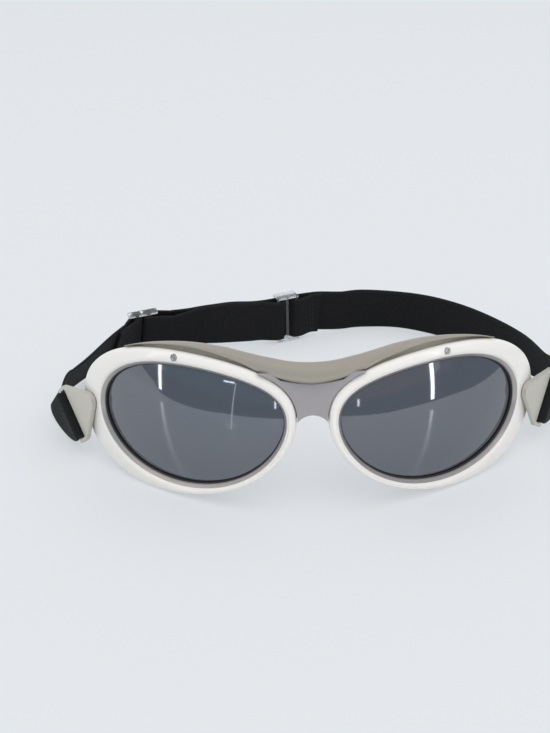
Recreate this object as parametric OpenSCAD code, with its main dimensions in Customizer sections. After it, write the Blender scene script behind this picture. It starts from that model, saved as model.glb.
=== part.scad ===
// Goggle sunglasses on an elastic head strap, standing on a flat surface.
// Millimetres. +Z is up, the front faces -Y, +X is the viewer's right.
// The front is a toric surface; every ring round a lens is a profile swept
// round one egg-shaped opening on that surface, so the pieces nest.

/* [Front surface] */
// Radius of the wrap round the face, seen from above
wrap_r = 92; // [86:1:110]
// Radius of the front's upright curve, seen from the side
dome_r = 75; // [65:1:120]
// Height at which the front stands upright
dome_z = 22; // [19:0.5:25]

/* [Lens opening] */
// Half the distance between the rims over the nose
nose_half = 5.2; // [4.6:0.1:6]
// Height of the middle of an opening
opening_z = 28; // [27:0.5:29]
// Width of an opening
opening_w = 65.6; // [62:0.2:68]
// Height of an opening
opening_h = 45; // [41:0.5:48]
// Drop of the temple end of an opening below its nose end, halved
opening_drop = 4; // [2:0.25:5]
// Lift of the upper temple corner of an opening
opening_corner = 1.1; // [0:0.1:1.6]
// Squareness of the nose and temple ends of an opening
opening_square = 1.1; // [0:0.1:1.6]

/* [Rim covers] */
// Width of a rim at the temple, seen from the front
rim_temple = 7; // [6:0.2:7.6]
// Width of a rim at the nose
rim_nose = 3.2; // [3:0.1:3.4]
// Width of a rim along its top
rim_top = 4; // [3.5:0.1:4.5]
// Width of a rim along its bottom
rim_bottom = 4.4; // [4:0.1:5.2]
// Extra width of a rim at its upper temple corner
rim_corner = 0.8; // [0:0.1:1]
// Height of a rim's crown above the front surface
rim_crown = 1; // [0.6:0.1:1.1]
// Depth of a rim behind the front surface
rim_back = 1.8; // [1.5:0.1:2.2]
// Depth of the lip that a rim has round the frame
rim_lip = 0.6; // [0.3:0.1:0.9]
// Thickness of that lip
rim_lip_t = 0.7; // [0.6:0.1:0.9]

/* [Trim, seals and lenses] */
// Width of the metal trim ring inside a rim
trim_w = 0.85; // [0.7:0.05:1.2]
// Depth of the bevel on the trim ring
trim_bevel = 1; // [0.5:0.05:1.1]
// Width of the seal's lip that shows inside the trim ring
seal_show = 0.3; // [0.25:0.05:1]
// Thickness of the seal's lip in front of the lens
seal_lip_t = 0.6; // [0.5:0.05:1.2]
// Width of the seal's wall round the lens
seal_wall = 0.6; // [0.5:0.05:0.8]
// Thickness of a lens
lens_t = 2; // [1.6:0.1:2.4]

/* [Frame] */
// Width of the ledge behind a lens
ledge_w = 2.7; // [2.5:0.1:3]
// Depth of the frame behind the front surface
frame_back = 8.6; // [7.5:0.1:10]
// Height of the bridge plate's face above the front surface
bridge_face = 0.4; // [0:0.1:0.8]
// Depth of the bridge plate behind the front surface
bridge_back = 6.8; // [6:0.1:8]
// Height of the top of the nose arch
arch_z = 36.8; // [35.5:0.1:38]
// Radius of the nose arch
arch_r = 6.4; // [6.1:0.1:8]

/* [Brow bar] */
// Height of the brow bar above the rims
brow_h = 7.4; // [6:0.1:8.5]
// Depth of the brow bar behind the front surface
brow_d = 8.4; // [6:0.1:10]
// Bulge of the brow bar's face, seen in section
brow_bulge = 1.1; // [0.7:0.1:1.6]
// Step by which the brow bar stands forward over the nose
brow_step = 2.6; // [1.6:0.1:3.4]
// Height of the brow bar's lower edge over the nose
brow_mid_z = 46.4; // [46.2:0.1:46.8]

/* [Pads] */
// Thickness of the foam face pads
pad_t = 3; // [2:0.1:4]

/* [Rim screws] */
// Place of a rim screw along its rim, as an angle from the temple end
screw_a = 86; // [80:0.5:95]
// Radius of a rim screw's head
screw_head_r = 1.25; // [1:0.05:1.3]
// Radius of a rim screw's shank
screw_r = 0.6; // [0.5:0.05:0.7]
// Length of a rim screw's shank
screw_len = 5; // [4:0.1:6]

/* [Strap loops] */
// Distance of a loop's pivot beyond the temple end of an opening
pivot_out = 3.3; // [2.8:0.1:3.8]
// Height of an opening's middle above a loop's pivot
pivot_drop = 3.8; // [2:0.1:6]
// Angle by which the loops stand out from the front surface
loop_flare = 8; // [6:0.5:9]
// Angle below level at which the left loop lies
left_droop = 40; // [30:1:50]
// Angle below level at which the right loop lies
right_droop = 31; // [20:1:45]
// Thickness of a loop's plate
loop_t = 1.9; // [1.6:0.1:2.2]
// Radius of a loop's nose round its pivot
loop_nose_r = 3.4; // [3.2:0.1:3.8]
// Distance from a loop's pivot to the near edge of its slot
slot_a = 12.2; // [11.5:0.1:13.5]
// Width of a loop's slot
slot_w = 2.6; // [2.4:0.1:3.2]
// Radius of a loop's strap bar
bar_r = 1.2; // [1:0.05:1.3]
// Width of the arms at the ends of a loop's slot
arm_w = 1.5; // [1.3:0.1:2.2]
// Radius of the pivot post on a loop
post_r = 2; // [1.8:0.05:2.2]
// Wall of the bush round a pivot post
bush_wall = 0.6; // [0.5:0.05:0.8]

/* [Strap] */
// Width of the elastic webbing
strap_w = 18.5; // [17.5:0.5:19.5]
// Thickness of the webbing
strap_t = 1.2; // [1:0.1:1.3]
// Length of the sewn tail past the adjuster slide
tail_len = 9; // [6:0.5:12]

/* [Ring and slide] */
// Width of the ring, along the strap
ring_len = 13; // [12:0.5:15]
// Width of the adjuster slide, along the strap
slide_len = 10; // [9:0.5:12]
// Radius of the ring's two bars
ring_bar_r = 1; // [0.8:0.05:1.2]
// Gap between the two straps in the ring
ring_gap = 0.6; // [0.4:0.1:3]
// Radius of the slide's three bars
slide_bar_r = 0.6; // [0.5:0.05:0.7]
// Half the width of the webbing's dip behind the slide's middle bar
dip_half = 3.2; // [3.1:0.1:4]
// Thickness of the rails at their top and bottom
link_rail = 1.2; // [1:0.1:1.6]

/* [Clearances] */
// Gap between pieces that seat on each other
seat_gap = 0.05; // [0.03:0.01:0.1]
// Radial running clearance of the pivot posts
run_gap = 0.05; // [0.03:0.01:0.08]
// Gap between moving or soft pieces and their neighbours
free_gap = 0.3; // [0.25:0.05:0.4]

/* [Hidden] */

stations = 60;          // steps round a lens opening
opening_x = nose_half + rim_nose + opening_w / 2;   // middle of an opening
pivot_x = opening_x + opening_w / 2 + pivot_out;
pivot_z = opening_z - pivot_drop;
seal_lip_w = trim_w + seal_show;
egg_3 = [0.2, -0.57];   // third wave of the opening's outline, sine and cosine
rim_3 = 0.5;            // third wave of the rim's outer edge
rim_square = -0.56;     // squareness of the rim's outer edge against the opening's
rim_drop = 1.85;        // drop of the rim's temple end against the opening's
flat_a = -4;            // the rim's face is flat at this angle, under the loop
flat_spread = 24;       // and rises to its full crown this far away

pearl = [0.75, 0.73, 0.70];
white = [0.93, 0.92, 0.90];
grey = [0.60, 0.59, 0.58];
black = [0.10, 0.10, 0.11];
foam = [0.20, 0.20, 0.21];
smoke = [0.30, 0.33, 0.37];
clear = [0.85, 0.88, 0.90];

// Vectors and rotations
function unit(v) = v / norm(v);
function turn_x(v, a) = [v.x, v.y * cos(a) - v.z * sin(a), v.y * sin(a) + v.z * cos(a)];
function turn_y(v, a) = [v.x * cos(a) + v.z * sin(a), v.y, v.z * cos(a) - v.x * sin(a)];
function turn_z(v, a) = [v.x * cos(a) - v.y * sin(a), v.x * sin(a) + v.y * cos(a), v.z];
function lerp(a, b, s) = a + (b - a) * s;
function ramp(s) = s <= 0 ? 0 : s >= 1 ? 1 : (1 - cos(180 * s)) / 2;
function reverse(v) = [for (i = [len(v) - 1:-1:0]) v[i]];

// The front surface and its outward normal
function wrap_y(x, z) = wrap_r - sqrt(wrap_r * wrap_r - x * x)
    + dome_r - sqrt(dome_r * dome_r - (z - dome_z) * (z - dome_z));
function wrap_n(x, z) = unit([x / sqrt(wrap_r * wrap_r - x * x), -1,
    (z - dome_z) / sqrt(dome_r * dome_r - (z - dome_z) * (z - dome_z))]);
function on_wrap(q, n) = [q[0], wrap_y(q[0], q[1]), q[1]] + n * wrap_n(q[0], q[1]);

// Outline in front view at angle a: f = 0 is the lens opening, f = 1 the rim's outer edge
function outline(a, f) = [
    opening_x + f * (rim_temple - rim_nose) / 2
        + (opening_w / 2 + f * (rim_temple + rim_nose) / 2) * cos(a),
    opening_z + f * (rim_top - rim_bottom) / 2
        + (opening_h / 2 + f * (rim_top + rim_bottom) / 2) * sin(a)
        - (opening_drop + f * rim_drop) * cos(a)
        + (opening_corner + f * rim_corner) * sin(2 * a)
        + (opening_square + f * rim_square) * cos(2 * a)
        + (egg_3[0] + f * rim_3) * sin(3 * a) + egg_3[1] * cos(3 * a)];
// Front-view step that moves 1 mm outwards along the surface, square to the outline
function outward(a, f) = let (p = outline(a, f),
    d = unit(on_wrap(outline(a + 0.5, f), 0) - on_wrap(outline(a - 0.5, f), 0)),
    b = cross(d, wrap_n(p[0], p[1]))) [b.x, b.z];
// How much of the crown is left at angle a
function crown_at(a) = let (d = (a > 180 ? a - 360 : a) - flat_a)
    1 - 0.9 * exp(-d * d / (flat_spread * flat_spread));
// A point w mm outside outline f, and n mm in front of the surface
function spot(a, w, f, n) = on_wrap(outline(a, f) + w * outward(a, f), n > 0 ? n * crown_at(a) : n);

// A profile's turning sense, and the profile in the sense that faces outwards
function turning(v) = [for (i = [0:len(v) - 1]) let (p = v[i], q = v[(i + 1) % len(v)])
    (p[0] + 5 * p[1]) * q[2] - (q[0] + 5 * q[1]) * p[2]] * [for (p = v) 1];

// Closed ring of a profile, given as [w, f, n] points, swept round the opening
module ring(given) {
    profile = turning(given) < 0 ? given : reverse(given);
    k = len(profile);
    points = [for (i = [0:stations - 1], p = profile) spot(i * 360 / stations, p[0], p[1], p[2])];
    faces = [for (i = [0:stations - 1], j = [0:k - 1])
        let (i2 = (i + 1) % stations, j2 = (j + 1) % k)
        each [[i * k + j, i2 * k + j, i2 * k + j2], [i * k + j, i2 * k + j2, i * k + j2]]];
    polyhedron(points, faces);
}

// Rows of k points each, joined to a closed bar with flat ends
module loft(rows) {
    k = len(rows[0]);
    last = (len(rows) - 1) * k;
    points = [for (row = rows) each row];
    sides = [for (i = [0:len(rows) - 2], j = [0:k - 1])
        let (j2 = (j + 1) % k, a = i * k, b = a + k)
        each [[a + j, b + j, b + j2], [a + j, b + j2, a + j2]]];
    ends = [for (j = [1:k - 2]) each [[0, j, j + 1], [last, last + j + 1, last + j]]];
    polyhedron(points, concat(sides, ends));
}

// Depths of the layers behind the front surface, from front to back
rim_seat = -rim_back - seat_gap;
lens_front = rim_seat - seal_lip_t - seat_gap;
lens_rear = lens_front - lens_t;
ledge = lens_rear - seat_gap;
frame_in = rim_lip_t + seat_gap;   // how far the frame's edge lies inside the rim's
lens_w = -seat_gap;                // the lens's edge against the opening
lens_steps = [1, 0.88, 0.6, 0.3];   // edge loops of a lens's faces

rim_profile = [[0, 0, -rim_back], [0, 0, -0.35], [0.25, 0, 0.1], [0.7, 0, rim_crown * 0.55],
    [0, 0.3, rim_crown * 0.9], [0, 0.6, rim_crown], [-0.9, 1, rim_crown * 0.75],
    [-0.3, 1, rim_crown * 0.25], [0, 1, -0.5], [0, 1, -rim_back - rim_lip],
    [-rim_lip_t, 1, -rim_back - rim_lip], [-rim_lip_t, 1, -rim_back], [0, 0.5, -rim_back]];
trim_profile = [[-seat_gap, 0, -0.3], [-trim_w, 0, -0.3 - trim_bevel], [-trim_w, 0, -rim_back],
    [-seat_gap, 0, -rim_back]];
seal_profile = [[-seal_lip_w, 0, rim_seat - 0.15], [-trim_w - 0.2, 0, rim_seat],
    [seal_wall, 0, rim_seat], [seal_wall, 0, lens_rear], [0, 0, lens_rear],
    [0, 0, rim_seat - seal_lip_t], [-seal_lip_w, 0, rim_seat - seal_lip_t]];
frame_profile = [[-ledge_w, 0, ledge], [seal_wall + seat_gap, 0, ledge],
    [seal_wall + seat_gap, 0, rim_seat], [0, 0.5, rim_seat], [-frame_in, 1, rim_seat],
    [-frame_in, 1, -frame_back], [0, 0.5, -frame_back], [-ledge_w, 0, -frame_back]];
pad_profile = [[-ledge_w + 0.3, 0, -frame_back - seat_gap], [0, 0.5, -frame_back - seat_gap],
    [-frame_in - 0.4, 1, -frame_back - seat_gap], [-frame_in - 1.2, 1, -frame_back - pad_t],
    [-ledge_w + 1.4, 0, -frame_back - pad_t]];

// Standing height: the rims' lowest point touches the floor
rim_points = [for (i = [0:stations - 1], p = rim_profile)
    spot(i * 360 / stations, p[0], p[1], p[2])];
lift = -min([for (p = rim_points) p.z]);

// Loop pivots. A loop's own frame has X towards its strap bar, Z along the bar, -Y outwards.
pivot_turn = asin(pivot_x / wrap_r) - loop_flare;
pivot_tilt = asin((pivot_z - dome_z) / dome_r);
pivot_p = on_wrap([pivot_x, pivot_z], 0) + [0, 0, lift];
loop_back = loop_nose_r * sin(loop_flare) + free_gap / 2;   // plate's inner face over the rim
bar_a = slot_a + slot_w + bar_r;
bar_depth = loop_back + loop_t / 2;
slot_half = strap_w / 2 + 0.2;
bush_r = post_r + run_gap + bush_wall;
pivot_seat = 5;                    // depth of the bush's back end behind the surface
pivot_head_r = bush_r + 0.25;
pivot_head_t = 1.4;
pivot_screw_r = 0.8;
function from_loop(v, droop) = pivot_p
    + turn_z(turn_x(turn_y(v, droop), -pivot_tilt), pivot_turn);

// Brow bar: [w, n] section, from its upper back corner. The last two of its first five points
// are the floor and the lip of the groove that parts its face from the rims.
brow_section = [[brow_h * 0.9, -brow_d], [seat_gap, -brow_d], [seat_gap, -2.2], [0, -2.2],
    [0, -0.5], [brow_h * 0.12, brow_bulge * 0.6], [brow_h * 0.4, brow_bulge],
    [brow_h * 0.7, brow_bulge * 0.7], [brow_h * 0.92, -0.8], [brow_h, -3]];
// Along a rim: angle, width of the groove, share of the height
brow_rim = [[60, 0.25, 0.04], [66, 0.5, 0.076], [72, 0.75, 0.115], [78, 1, 0.15],
    [84, 1.25, 0.19], [90, 1.5, 0.23], [96, 1.7, 0.26], [102, 1.6, 0.31], [108, 1.4, 0.38],
    [114, 1.15, 0.43], [120, 0.95, 0.48], [126, 0.65, 0.57]];
// Over the nose: distance from the middle, height above brow_mid_z, share of the step
// forward, share of the turn to upright, width of the groove, share of the height
brow_nose = [[18.5, 3.45, 0.05, 0.35, 0.35, 0.65], [14.5, 2.15, 0.3, 0.6, 0.5, 0.74],
    [10, 1.16, 0.66, 0.8, 0.52, 0.79], [5, 0.39, 0.93, 0.95, 0.52, 0.84],
    [0, 0, 1, 1, 0.52, 0.88]];
// A row of the bar, or with grow > 0 of the room that the bridge leaves for it
function brow_row(o, u, n, groove, share, grow) = [for (i = [0:len(brow_section) - 1])
    let (q = brow_section[i], low = i > 0 && (i < 3 || grow > 0 && i < 5))
    o + u * (q[0] * share + (low ? -grow : groove)) + n * q[1]];
function brow_up(a) = unit(spot(a, 0.1, 1, 0) - spot(a, 0, 1, 0));
function brow_rim_row(q, grow) = let (o = spot(q[0], 0, 1, 0))
    brow_row(o, brow_up(q[0]), wrap_n(o.x, o.z), q[1], q[2], grow);
function brow_nose_row(q, grow) = let (z = brow_mid_z + q[1], n = wrap_n(q[0], z), up = brow_up(126),
    u = cross(n, unit(cross([0, 0, 1], n))), lean = up - n * (up * n))
    brow_row(on_wrap([q[0], z], brow_step * q[2]), unit(lerp(lean, u, q[3])), n, q[4], q[5], grow);
function brow_rows(grow) = let (
    half = concat([for (q = brow_rim) brow_rim_row(q, grow)],
        [for (q = brow_nose) brow_nose_row(q, grow)]))
    concat(half, [for (i = [len(half) - 2:-1:0]) [for (p = half[i]) [-p.x, p.y, p.z]]]);

front_depth = 30;                  // cuts reach this far before and behind the nose
// Bridge plate: a slab square to the front surface at this height
bridge_z = 41;
bridge_top = 10.5;
bridge_o = on_wrap([0, bridge_z], 0);
bridge_n = wrap_n(0, bridge_z);
bridge_u = [0, bridge_n.z, -bridge_n.y];
function on_bridge(p) = [p.x, (p - bridge_o) * bridge_u];
function bridge_half(w, f, n) = [for (a = [132:6:190]) let (q = on_bridge(spot(a, w, f, n)))
    [q[0], min(q[1], bridge_top)]];
function both(v) = concat(v, [for (p = reverse(v)) [-p[0], p[1]]]);

// Strap routes as [lower edge, upper edge] points chosen by eye: from the left loop to the
// ring, and from the ring round the back of the head to the right loop
left_route = [[[-95, 60, 5.4], [-92, 69.5, 20.5]], [[-99, 68, 4.4], [-91.5, 77, 19.5]],
    [[-101, 80, 3], [-90, 85, 18]], [[-98, 95, 1.8], [-86, 97, 17.5]],
    [[-90, 115, 1], [-80.5, 115, 17.1]], [[-81, 131.5, 1.2], [-75, 127.5, 17.6]]];
back_route = [[[-58, 146.5, 1.9], [-56, 139.5, 19]], [[-48, 145.5, 1.8], [-47, 140.5, 19.5]],
    [[-38, 143, 2.5], [-37.5, 141, 21]], [[-30, 142, 3], [-29.5, 142, 21.5]],
    [[-22, 143.5, 2.8], [-21.5, 142.5, 21.5]], [[-16, 146, 2.5], [-16, 144.5, 21]],
    [[-11.5, 148.2, 2.5], [-11.5, 146.5, 21]], [[-7, 150.2, 2.5], [-7, 148.5, 21]],
    [[-2.5, 152, 2.5], [-2.5, 150.3, 21]], [[2, 153.5, 2.3], [2, 152, 20.8]],
    [[8, 154.5, 1], [8, 154, 20]], [[18, 159, 0.4], [18, 158, 19]],
    [[28, 161.2, 0.3], [28, 160.2, 19]], [[44, 159.5, 0.4], [43.5, 157, 19]],
    [[58, 151.5, 0.5], [57.5, 150, 19]], [[71, 139.5, 0.6], [70.5, 138, 19]],
    [[83, 123.5, 0.7], [81.5, 122, 19]], [[94, 104, 1.2], [90.5, 102, 19]],
    [[100.7, 86, 2.6], [94.5, 80, 20]], [[98.5, 72, 5], [93, 73, 22]],
    [[95, 63, 6.6], [92.5, 67, 24]]];
ring_middle = [[-71.5, 141.5, 2.1], [-68.5, 134, 20]];
ring_turn = 24;                    // the ring's direction, seen from above
slide_at = 7;                      // the slide stands at this point of back_route
route_steps = 4;

// Smooth curve through points, k steps a span
function curve_at(p, i, s) = let (m = len(p) - 1, a = p[max(i - 1, 0)], b = p[i],
    c = p[min(i + 1, m)], d = p[min(i + 2, m)]) b + (c - a) * s / 2
    + (2 * a - 5 * b + 4 * c - d) * s * s / 2 + (3 * b - a - 3 * c + d) * s * s * s / 2;
function smooth(p, k) = concat([for (i = [0:len(p) - 2], s = [0:k - 1]) curve_at(p, i, s / k)],
    [p[len(p) - 1]]);

// A strap station is [middle, direction of its width, outward normal], at a height
// that stays above the floor
function station(low, high, along) = let (up = unit(high - low), n = unit(cross(up, along)),
    mid = low + up * strap_w / 2, bottom = mid.z - up.z * strap_w / 2 - abs(n.z) * strap_t / 2)
    [mid + [0, 0, max(0, 0.05 - bottom)], up, n];
function stations_of(route) = let (low = smooth([for (p = route) p[0]], route_steps),
    high = smooth([for (p = route) p[1]], route_steps), m = len(low) - 1)
    [for (i = [0:m]) let (j = min(i + 1, m), h = max(i - 1, 0))
        station(low[i], high[i], low[j] + high[j] - low[h] - high[h])];
// Stations round a bar's axis at o: from one side of it, by way of -s, to the other. The
// strap meets the bar early degrees before that side.
function turn_round(o, s, n, up, r, early) = [for (i = [0:9]) let (a = lerp(-90 - early, 90, i / 9),
    d = n * sin(a) - s * cos(a)) [o + d * r, up, d]];
function between(a, b, steps) = [for (i = [1:steps - 1]) let (s = i / steps)
    [lerp(a[0], b[0], s), unit(lerp(a[1], b[1], s)), unit(lerp(a[2], b[2], s))]];
function opposite(s, gap) = [s[0] - s[2] * gap, s[1], -s[2]];

// Webbing along stations
module webbing(run) {
    loft([for (s = run) let (w = s[1] * strap_w / 2, t = s[2] * strap_t / 2)
        [s[0] - w - t, s[0] - w + t, s[0] + w + t, s[0] + w - t]]);
}

// The ring's frame: S along the strap towards the right loop, N outwards, U up its bars
ring_o = (ring_middle[0] + ring_middle[1]) / 2;
ring_u = unit(ring_middle[1] - ring_middle[0]);
ring_n = unit(cross(ring_u, [cos(ring_turn), sin(ring_turn), 0]));
ring_s = cross(ring_n, ring_u);
ring_wrap_r = ring_bar_r + free_gap + strap_t / 2;
ring_bar_s = ring_wrap_r + (strap_t + ring_gap) / 2;
link_half = strap_w / 2 + free_gap;

back_stations = stations_of(back_route);
left_stations = stations_of(left_route);
slide_station = back_stations[slide_at * route_steps];
slide_u = slide_station[1];
slide_n = slide_station[2];
slide_s = cross(slide_n, slide_u);
slide_bar_s = slide_len / 2 - slide_bar_r;
weave = slide_bar_r + free_gap + strap_t / 2 + 0.15;   // strap's middle to a slide bar's middle
layer_gap = strap_t + free_gap;                   // between the middles of two layers
slide_plane = weave + layer_gap;                  // slide's bars to the back layer's middle
slide_o = slide_station[0] - slide_n * slide_plane;

// The inner layer's distance from the outer one, d mm along from the slide
function layer_at(d) = abs(d) < dip_half ? slide_plane - weave * cos(180 * d / dip_half)
    : lerp(slide_plane + weave, layer_gap, ramp((abs(d) - slide_bar_s) / 9));
tail_stations = ceil((slide_bar_s + tail_len) / 1.15);
inner_layer = [for (i = [slide_at * route_steps + 12:-1:1]) let (s = back_stations[i])
    opposite(s, max(layer_at((s[0] - slide_station[0]) * slide_s),
        lerp(2 * ring_wrap_r, layer_gap, ramp(i / 6))))];
near_turn = turn_round(ring_o + ring_s * ring_bar_s, ring_s, ring_n, ring_u, ring_wrap_r, 0);
long_run = concat(inner_layer,
    between(inner_layer[len(inner_layer) - 1], near_turn[0], 3), near_turn,
    between(near_turn[9], back_stations[0], 3), back_stations);

// The short strap turns round the ring's other bar and ends in a tail
far_turn = turn_round(ring_o - ring_s * ring_bar_s, -ring_s, -ring_n, ring_u, ring_wrap_r, 35);
left_last = len(left_stations) - 1;
short_run = concat(left_stations, between(left_stations[left_last], far_turn[0], 3),
    far_turn, between(far_turn[9], opposite(left_stations[left_last], layer_gap), 3),
    [for (i = [0:2]) opposite(left_stations[left_last - i], layer_gap)]);

// A sewn strap end, on the +X side: from the strap's last station round the loop's bar
function mirrored(s) = [for (v = s) [-v.x, v.y, v.z]];
loop_wrap_r = bar_r + seat_gap + strap_t / 2;
function end_run(last, droop) = let (
    o = from_loop([bar_a, -bar_depth, 0], droop), s = from_loop([1, 0, 0], droop) - pivot_p,
    n = from_loop([0, 1, 0], droop) - pivot_p, u = from_loop([0, 0, 1], droop) - pivot_p,
    round = turn_round(o, s, n, u, loop_wrap_r, 35),
    first = [last[0] + unit(round[0][0] - last[0]) * (free_gap + 0.1), last[1], last[2]],
    lead = concat([first], between(first, round[0], 7)))
    concat(lead, round, [for (i = [6:-1:1]) opposite(lead[i],
        lerp(layer_gap, 2 * loop_wrap_r, ramp((i - 2) / 5)))]);
right_end_run = end_run(back_stations[len(back_stations) - 1], right_droop);
left_end_run = end_run(mirrored(left_stations[0]), left_droop);

// Middle of the depth, so that the assembly stands centred on the origin
front_y = min(concat([for (p = rim_points) p.y], [for (row = brow_rows(0), p = row) p.y]));
back_y = max([for (s = back_stations) s[0].y + abs(s[1].y) * strap_w / 2
    + abs(s[2].y) * strap_t / 2]);
mid_y = (front_y + back_y) / 2;

// Placing
module side(s) {
    if (s < 0) mirror([1, 0, 0]) children();
    else children();
}
module on_floor(s = 1) translate([0, -mid_y, 0]) side(s) children();
module on_front(s = 1) translate([0, -mid_y, lift]) side(s) children();
module aligned(o, x, y, z) multmatrix([[x.x, y.x, z.x, o.x], [x.y, y.y, z.y, o.y],
    [x.z, y.z, z.z, o.z], [0, 0, 0, 1]]) children();
module onto(o, n) aligned(o, unit(cross([0, 0, 1], n)), cross(n, unit(cross([0, 0, 1], n))), n)
    children();
// A loop's own frame, at rest
module at_pivot(s) on_floor(s) translate(pivot_p) rotate([0, 0, pivot_turn])
    rotate([-pivot_tilt, 0, 0]) rotate([0, s < 0 ? left_droop : right_droop, 0]) children();
// The pivot's axis: local +Z points outwards from the surface
module on_axis() translate(pivot_p - [0, 0, lift]) rotate([0, 0, pivot_turn])
    rotate([-pivot_tilt, 0, 0]) rotate([90, 0, 0]) children();
screw_o = spot(screw_a, 0, 0.45, 0);
screw_n = wrap_n(screw_o.x, screw_o.z);
module at_screw() onto(screw_o, screw_n) children();

// Rim cover, with its screw hole and the seat under the strap loop
module rim() {
    difference() {
        ring(rim_profile);
        at_screw() {
            translate([0, 0, -4]) cylinder(r = screw_r + seat_gap, h = 6);
            translate([0, 0, rim_crown - 0.6]) cylinder(r = screw_head_r + seat_gap, h = 3);
        }
        on_axis() {
            translate([0, 0, -6]) cylinder(r = bush_r + seat_gap, h = 12);
            translate([0, 0, loop_back - free_gap]) cylinder(r = loop_nose_r + free_gap, h = 5);
        }
    }
}

// Countersunk cap screw that holds a rim to the frame
module rim_screw() {
    at_screw() {
        difference() {
            translate([0, 0, rim_crown - 0.6 + seat_gap]) cylinder(r = screw_head_r, h = 0.6);
            translate([-2, -0.2, rim_crown - 0.3]) cube([4, 0.4, 2]);
        }
        translate([0, 0, rim_crown - screw_len]) cylinder(r = screw_r, h = screw_len - 0.5);
    }
}

// Lens: curved front and back faces between two edge loops
module lens() {
    function shell(t, n) = [for (i = [0:stations - 1]) let (a = i * 360 / stations,
        e = outline(a, 0) + lens_w * outward(a, 0), c = [opening_x, opening_z])
        on_wrap(c + (e - c) * t, n)];
    k = stations;
    m = len(lens_steps);
    points = concat([for (j = [0:m - 1]) each shell(lens_steps[j], lens_front)],
        [for (j = [0:m - 1]) each shell(lens_steps[j], lens_rear)],
        [on_wrap([opening_x, opening_z], lens_front), on_wrap([opening_x, opening_z], lens_rear)]);
    front = [for (j = [0:m - 2], i = [0:k - 1]) let (a = j * k + i, b = j * k + (i + 1) % k)
        each [[a, b + k, b], [a, a + k, b + k]]];
    rear = [for (j = [m:2 * m - 2], i = [0:k - 1]) let (a = j * k + i, b = j * k + (i + 1) % k)
        each [[a, b, b + k], [a, b + k, a + k]]];
    edge = [for (i = [0:k - 1]) let (a = i, b = (i + 1) % k)
        each [[a, b + m * k, a + m * k], [a, b, b + m * k]]];
    caps = [for (i = [0:k - 1]) let (a = (m - 1) * k + i, b = (m - 1) * k + (i + 1) % k)
        each [[a, 2 * m * k, b], [a + m * k, b + m * k, 2 * m * k + 1]]];
    polyhedron(points, concat(front, rear, edge, caps));
}

// Bridge between the two lens frames, with the nose arch
module bridge() {
    difference() {
        aligned(bridge_o, [1, 0, 0], bridge_u, bridge_n) {
            translate([0, 0, -3.5]) linear_extrude(3.5 + bridge_face)
                polygon(both(bridge_half(0.25, 1, -1)));
            translate([0, 0, -bridge_back]) linear_extrude(bridge_back - 3.5)
                polygon(both(bridge_half(1.2, 0, -5)));
        }
        translate([0, front_depth, arch_z - arch_r]) rotate([90, 0, 0])
            cylinder(r = arch_r, h = 2 * front_depth);
        translate([-arch_r, -front_depth, -arch_z])
            cube([2 * arch_r, 2 * front_depth, 2 * arch_z - arch_r]);
        loft(brow_rows(seat_gap));
    }
}

// Frame that holds both lenses from behind
module frame_front() {
    color(grey) on_front() {
        difference() {
            union() {
                ring(frame_profile);
                side(-1) ring(frame_profile);
                bridge();
            }
            for (s = [-1, 1]) side(s) {
                on_axis() {
                    translate([0, 0, -12]) cylinder(r = bush_r + seat_gap, h = 14);
                    translate([0, 0, -16]) cylinder(r = pivot_head_r + free_gap, h = 16 - pivot_seat);
                }
                at_screw() translate([0, 0, -5]) cylinder(r = screw_r + seat_gap, h = 6);
            }
        }
    }
}

// Bush pressed through the rim and the frame
module pivot_bush() {
    on_axis() difference() {
        translate([0, 0, -pivot_seat]) cylinder(r = bush_r, h = pivot_seat + loop_back - free_gap);
        translate([0, 0, -pivot_seat - 1]) cylinder(r = post_r + run_gap, h = pivot_seat + 3);
    }
}

// Strap loop: nose with its pivot post, tapered plate, slot and strap bar
module strap_loop(s) {
    half = slot_half + arm_w;
    reach = norm([slot_a, half]);
    touch = atan2(half, slot_a) + acos(loop_nose_r / reach);
    nose = [loop_nose_r * cos(touch), loop_nose_r * sin(touch)];
    at_pivot(s) rotate([90, 0, 0]) difference() {
        union() {
            translate([0, 0, loop_back]) {
                cylinder(r = loop_nose_r, h = loop_t);
                linear_extrude(loop_t) polygon([nose, [slot_a, half], [bar_a, half],
                    [bar_a, slot_half], [slot_a, slot_half], [slot_a, -slot_half],
                    [bar_a, -slot_half], [bar_a, -half], [slot_a, -half], [nose[0], -nose[1]]]);
            }
            translate([bar_a, -half, bar_depth]) rotate([-90, 0, 0])
                cylinder(r = bar_r, h = 2 * half);
            translate([0, 0, -pivot_seat]) cylinder(r = post_r, h = pivot_seat + loop_back + 0.1);
        }
        translate([0, 0, -pivot_seat - 1]) cylinder(r = pivot_screw_r + seat_gap, h = 5);
    }
}

// Screw that holds a loop's post from behind
module pivot_screw(s) {
    at_pivot(s) rotate([90, 0, 0]) difference() {
        union() {
            translate([0, 0, -pivot_seat - seat_gap - pivot_head_t])
                cylinder(r = pivot_head_r, h = pivot_head_t);
            translate([0, 0, -pivot_seat - 1]) cylinder(r = pivot_screw_r, h = 4.6);
        }
        translate([-4, -0.3, -pivot_seat - pivot_head_t - 0.5]) cube([8, 0.6, 1]);
    }
}

// Ring or slide: bars along local Z between a rail at the top and one at the bottom
module link(len, bars, r, front, back) {
    for (x = bars) translate([x, 0, -link_half - 0.1]) cylinder(r = r, h = 2 * link_half + 0.2);
    for (z = [-link_half - link_rail, link_half])
        translate([-len / 2, -front, z]) cube([len, front + back, link_rail]);
}

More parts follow.
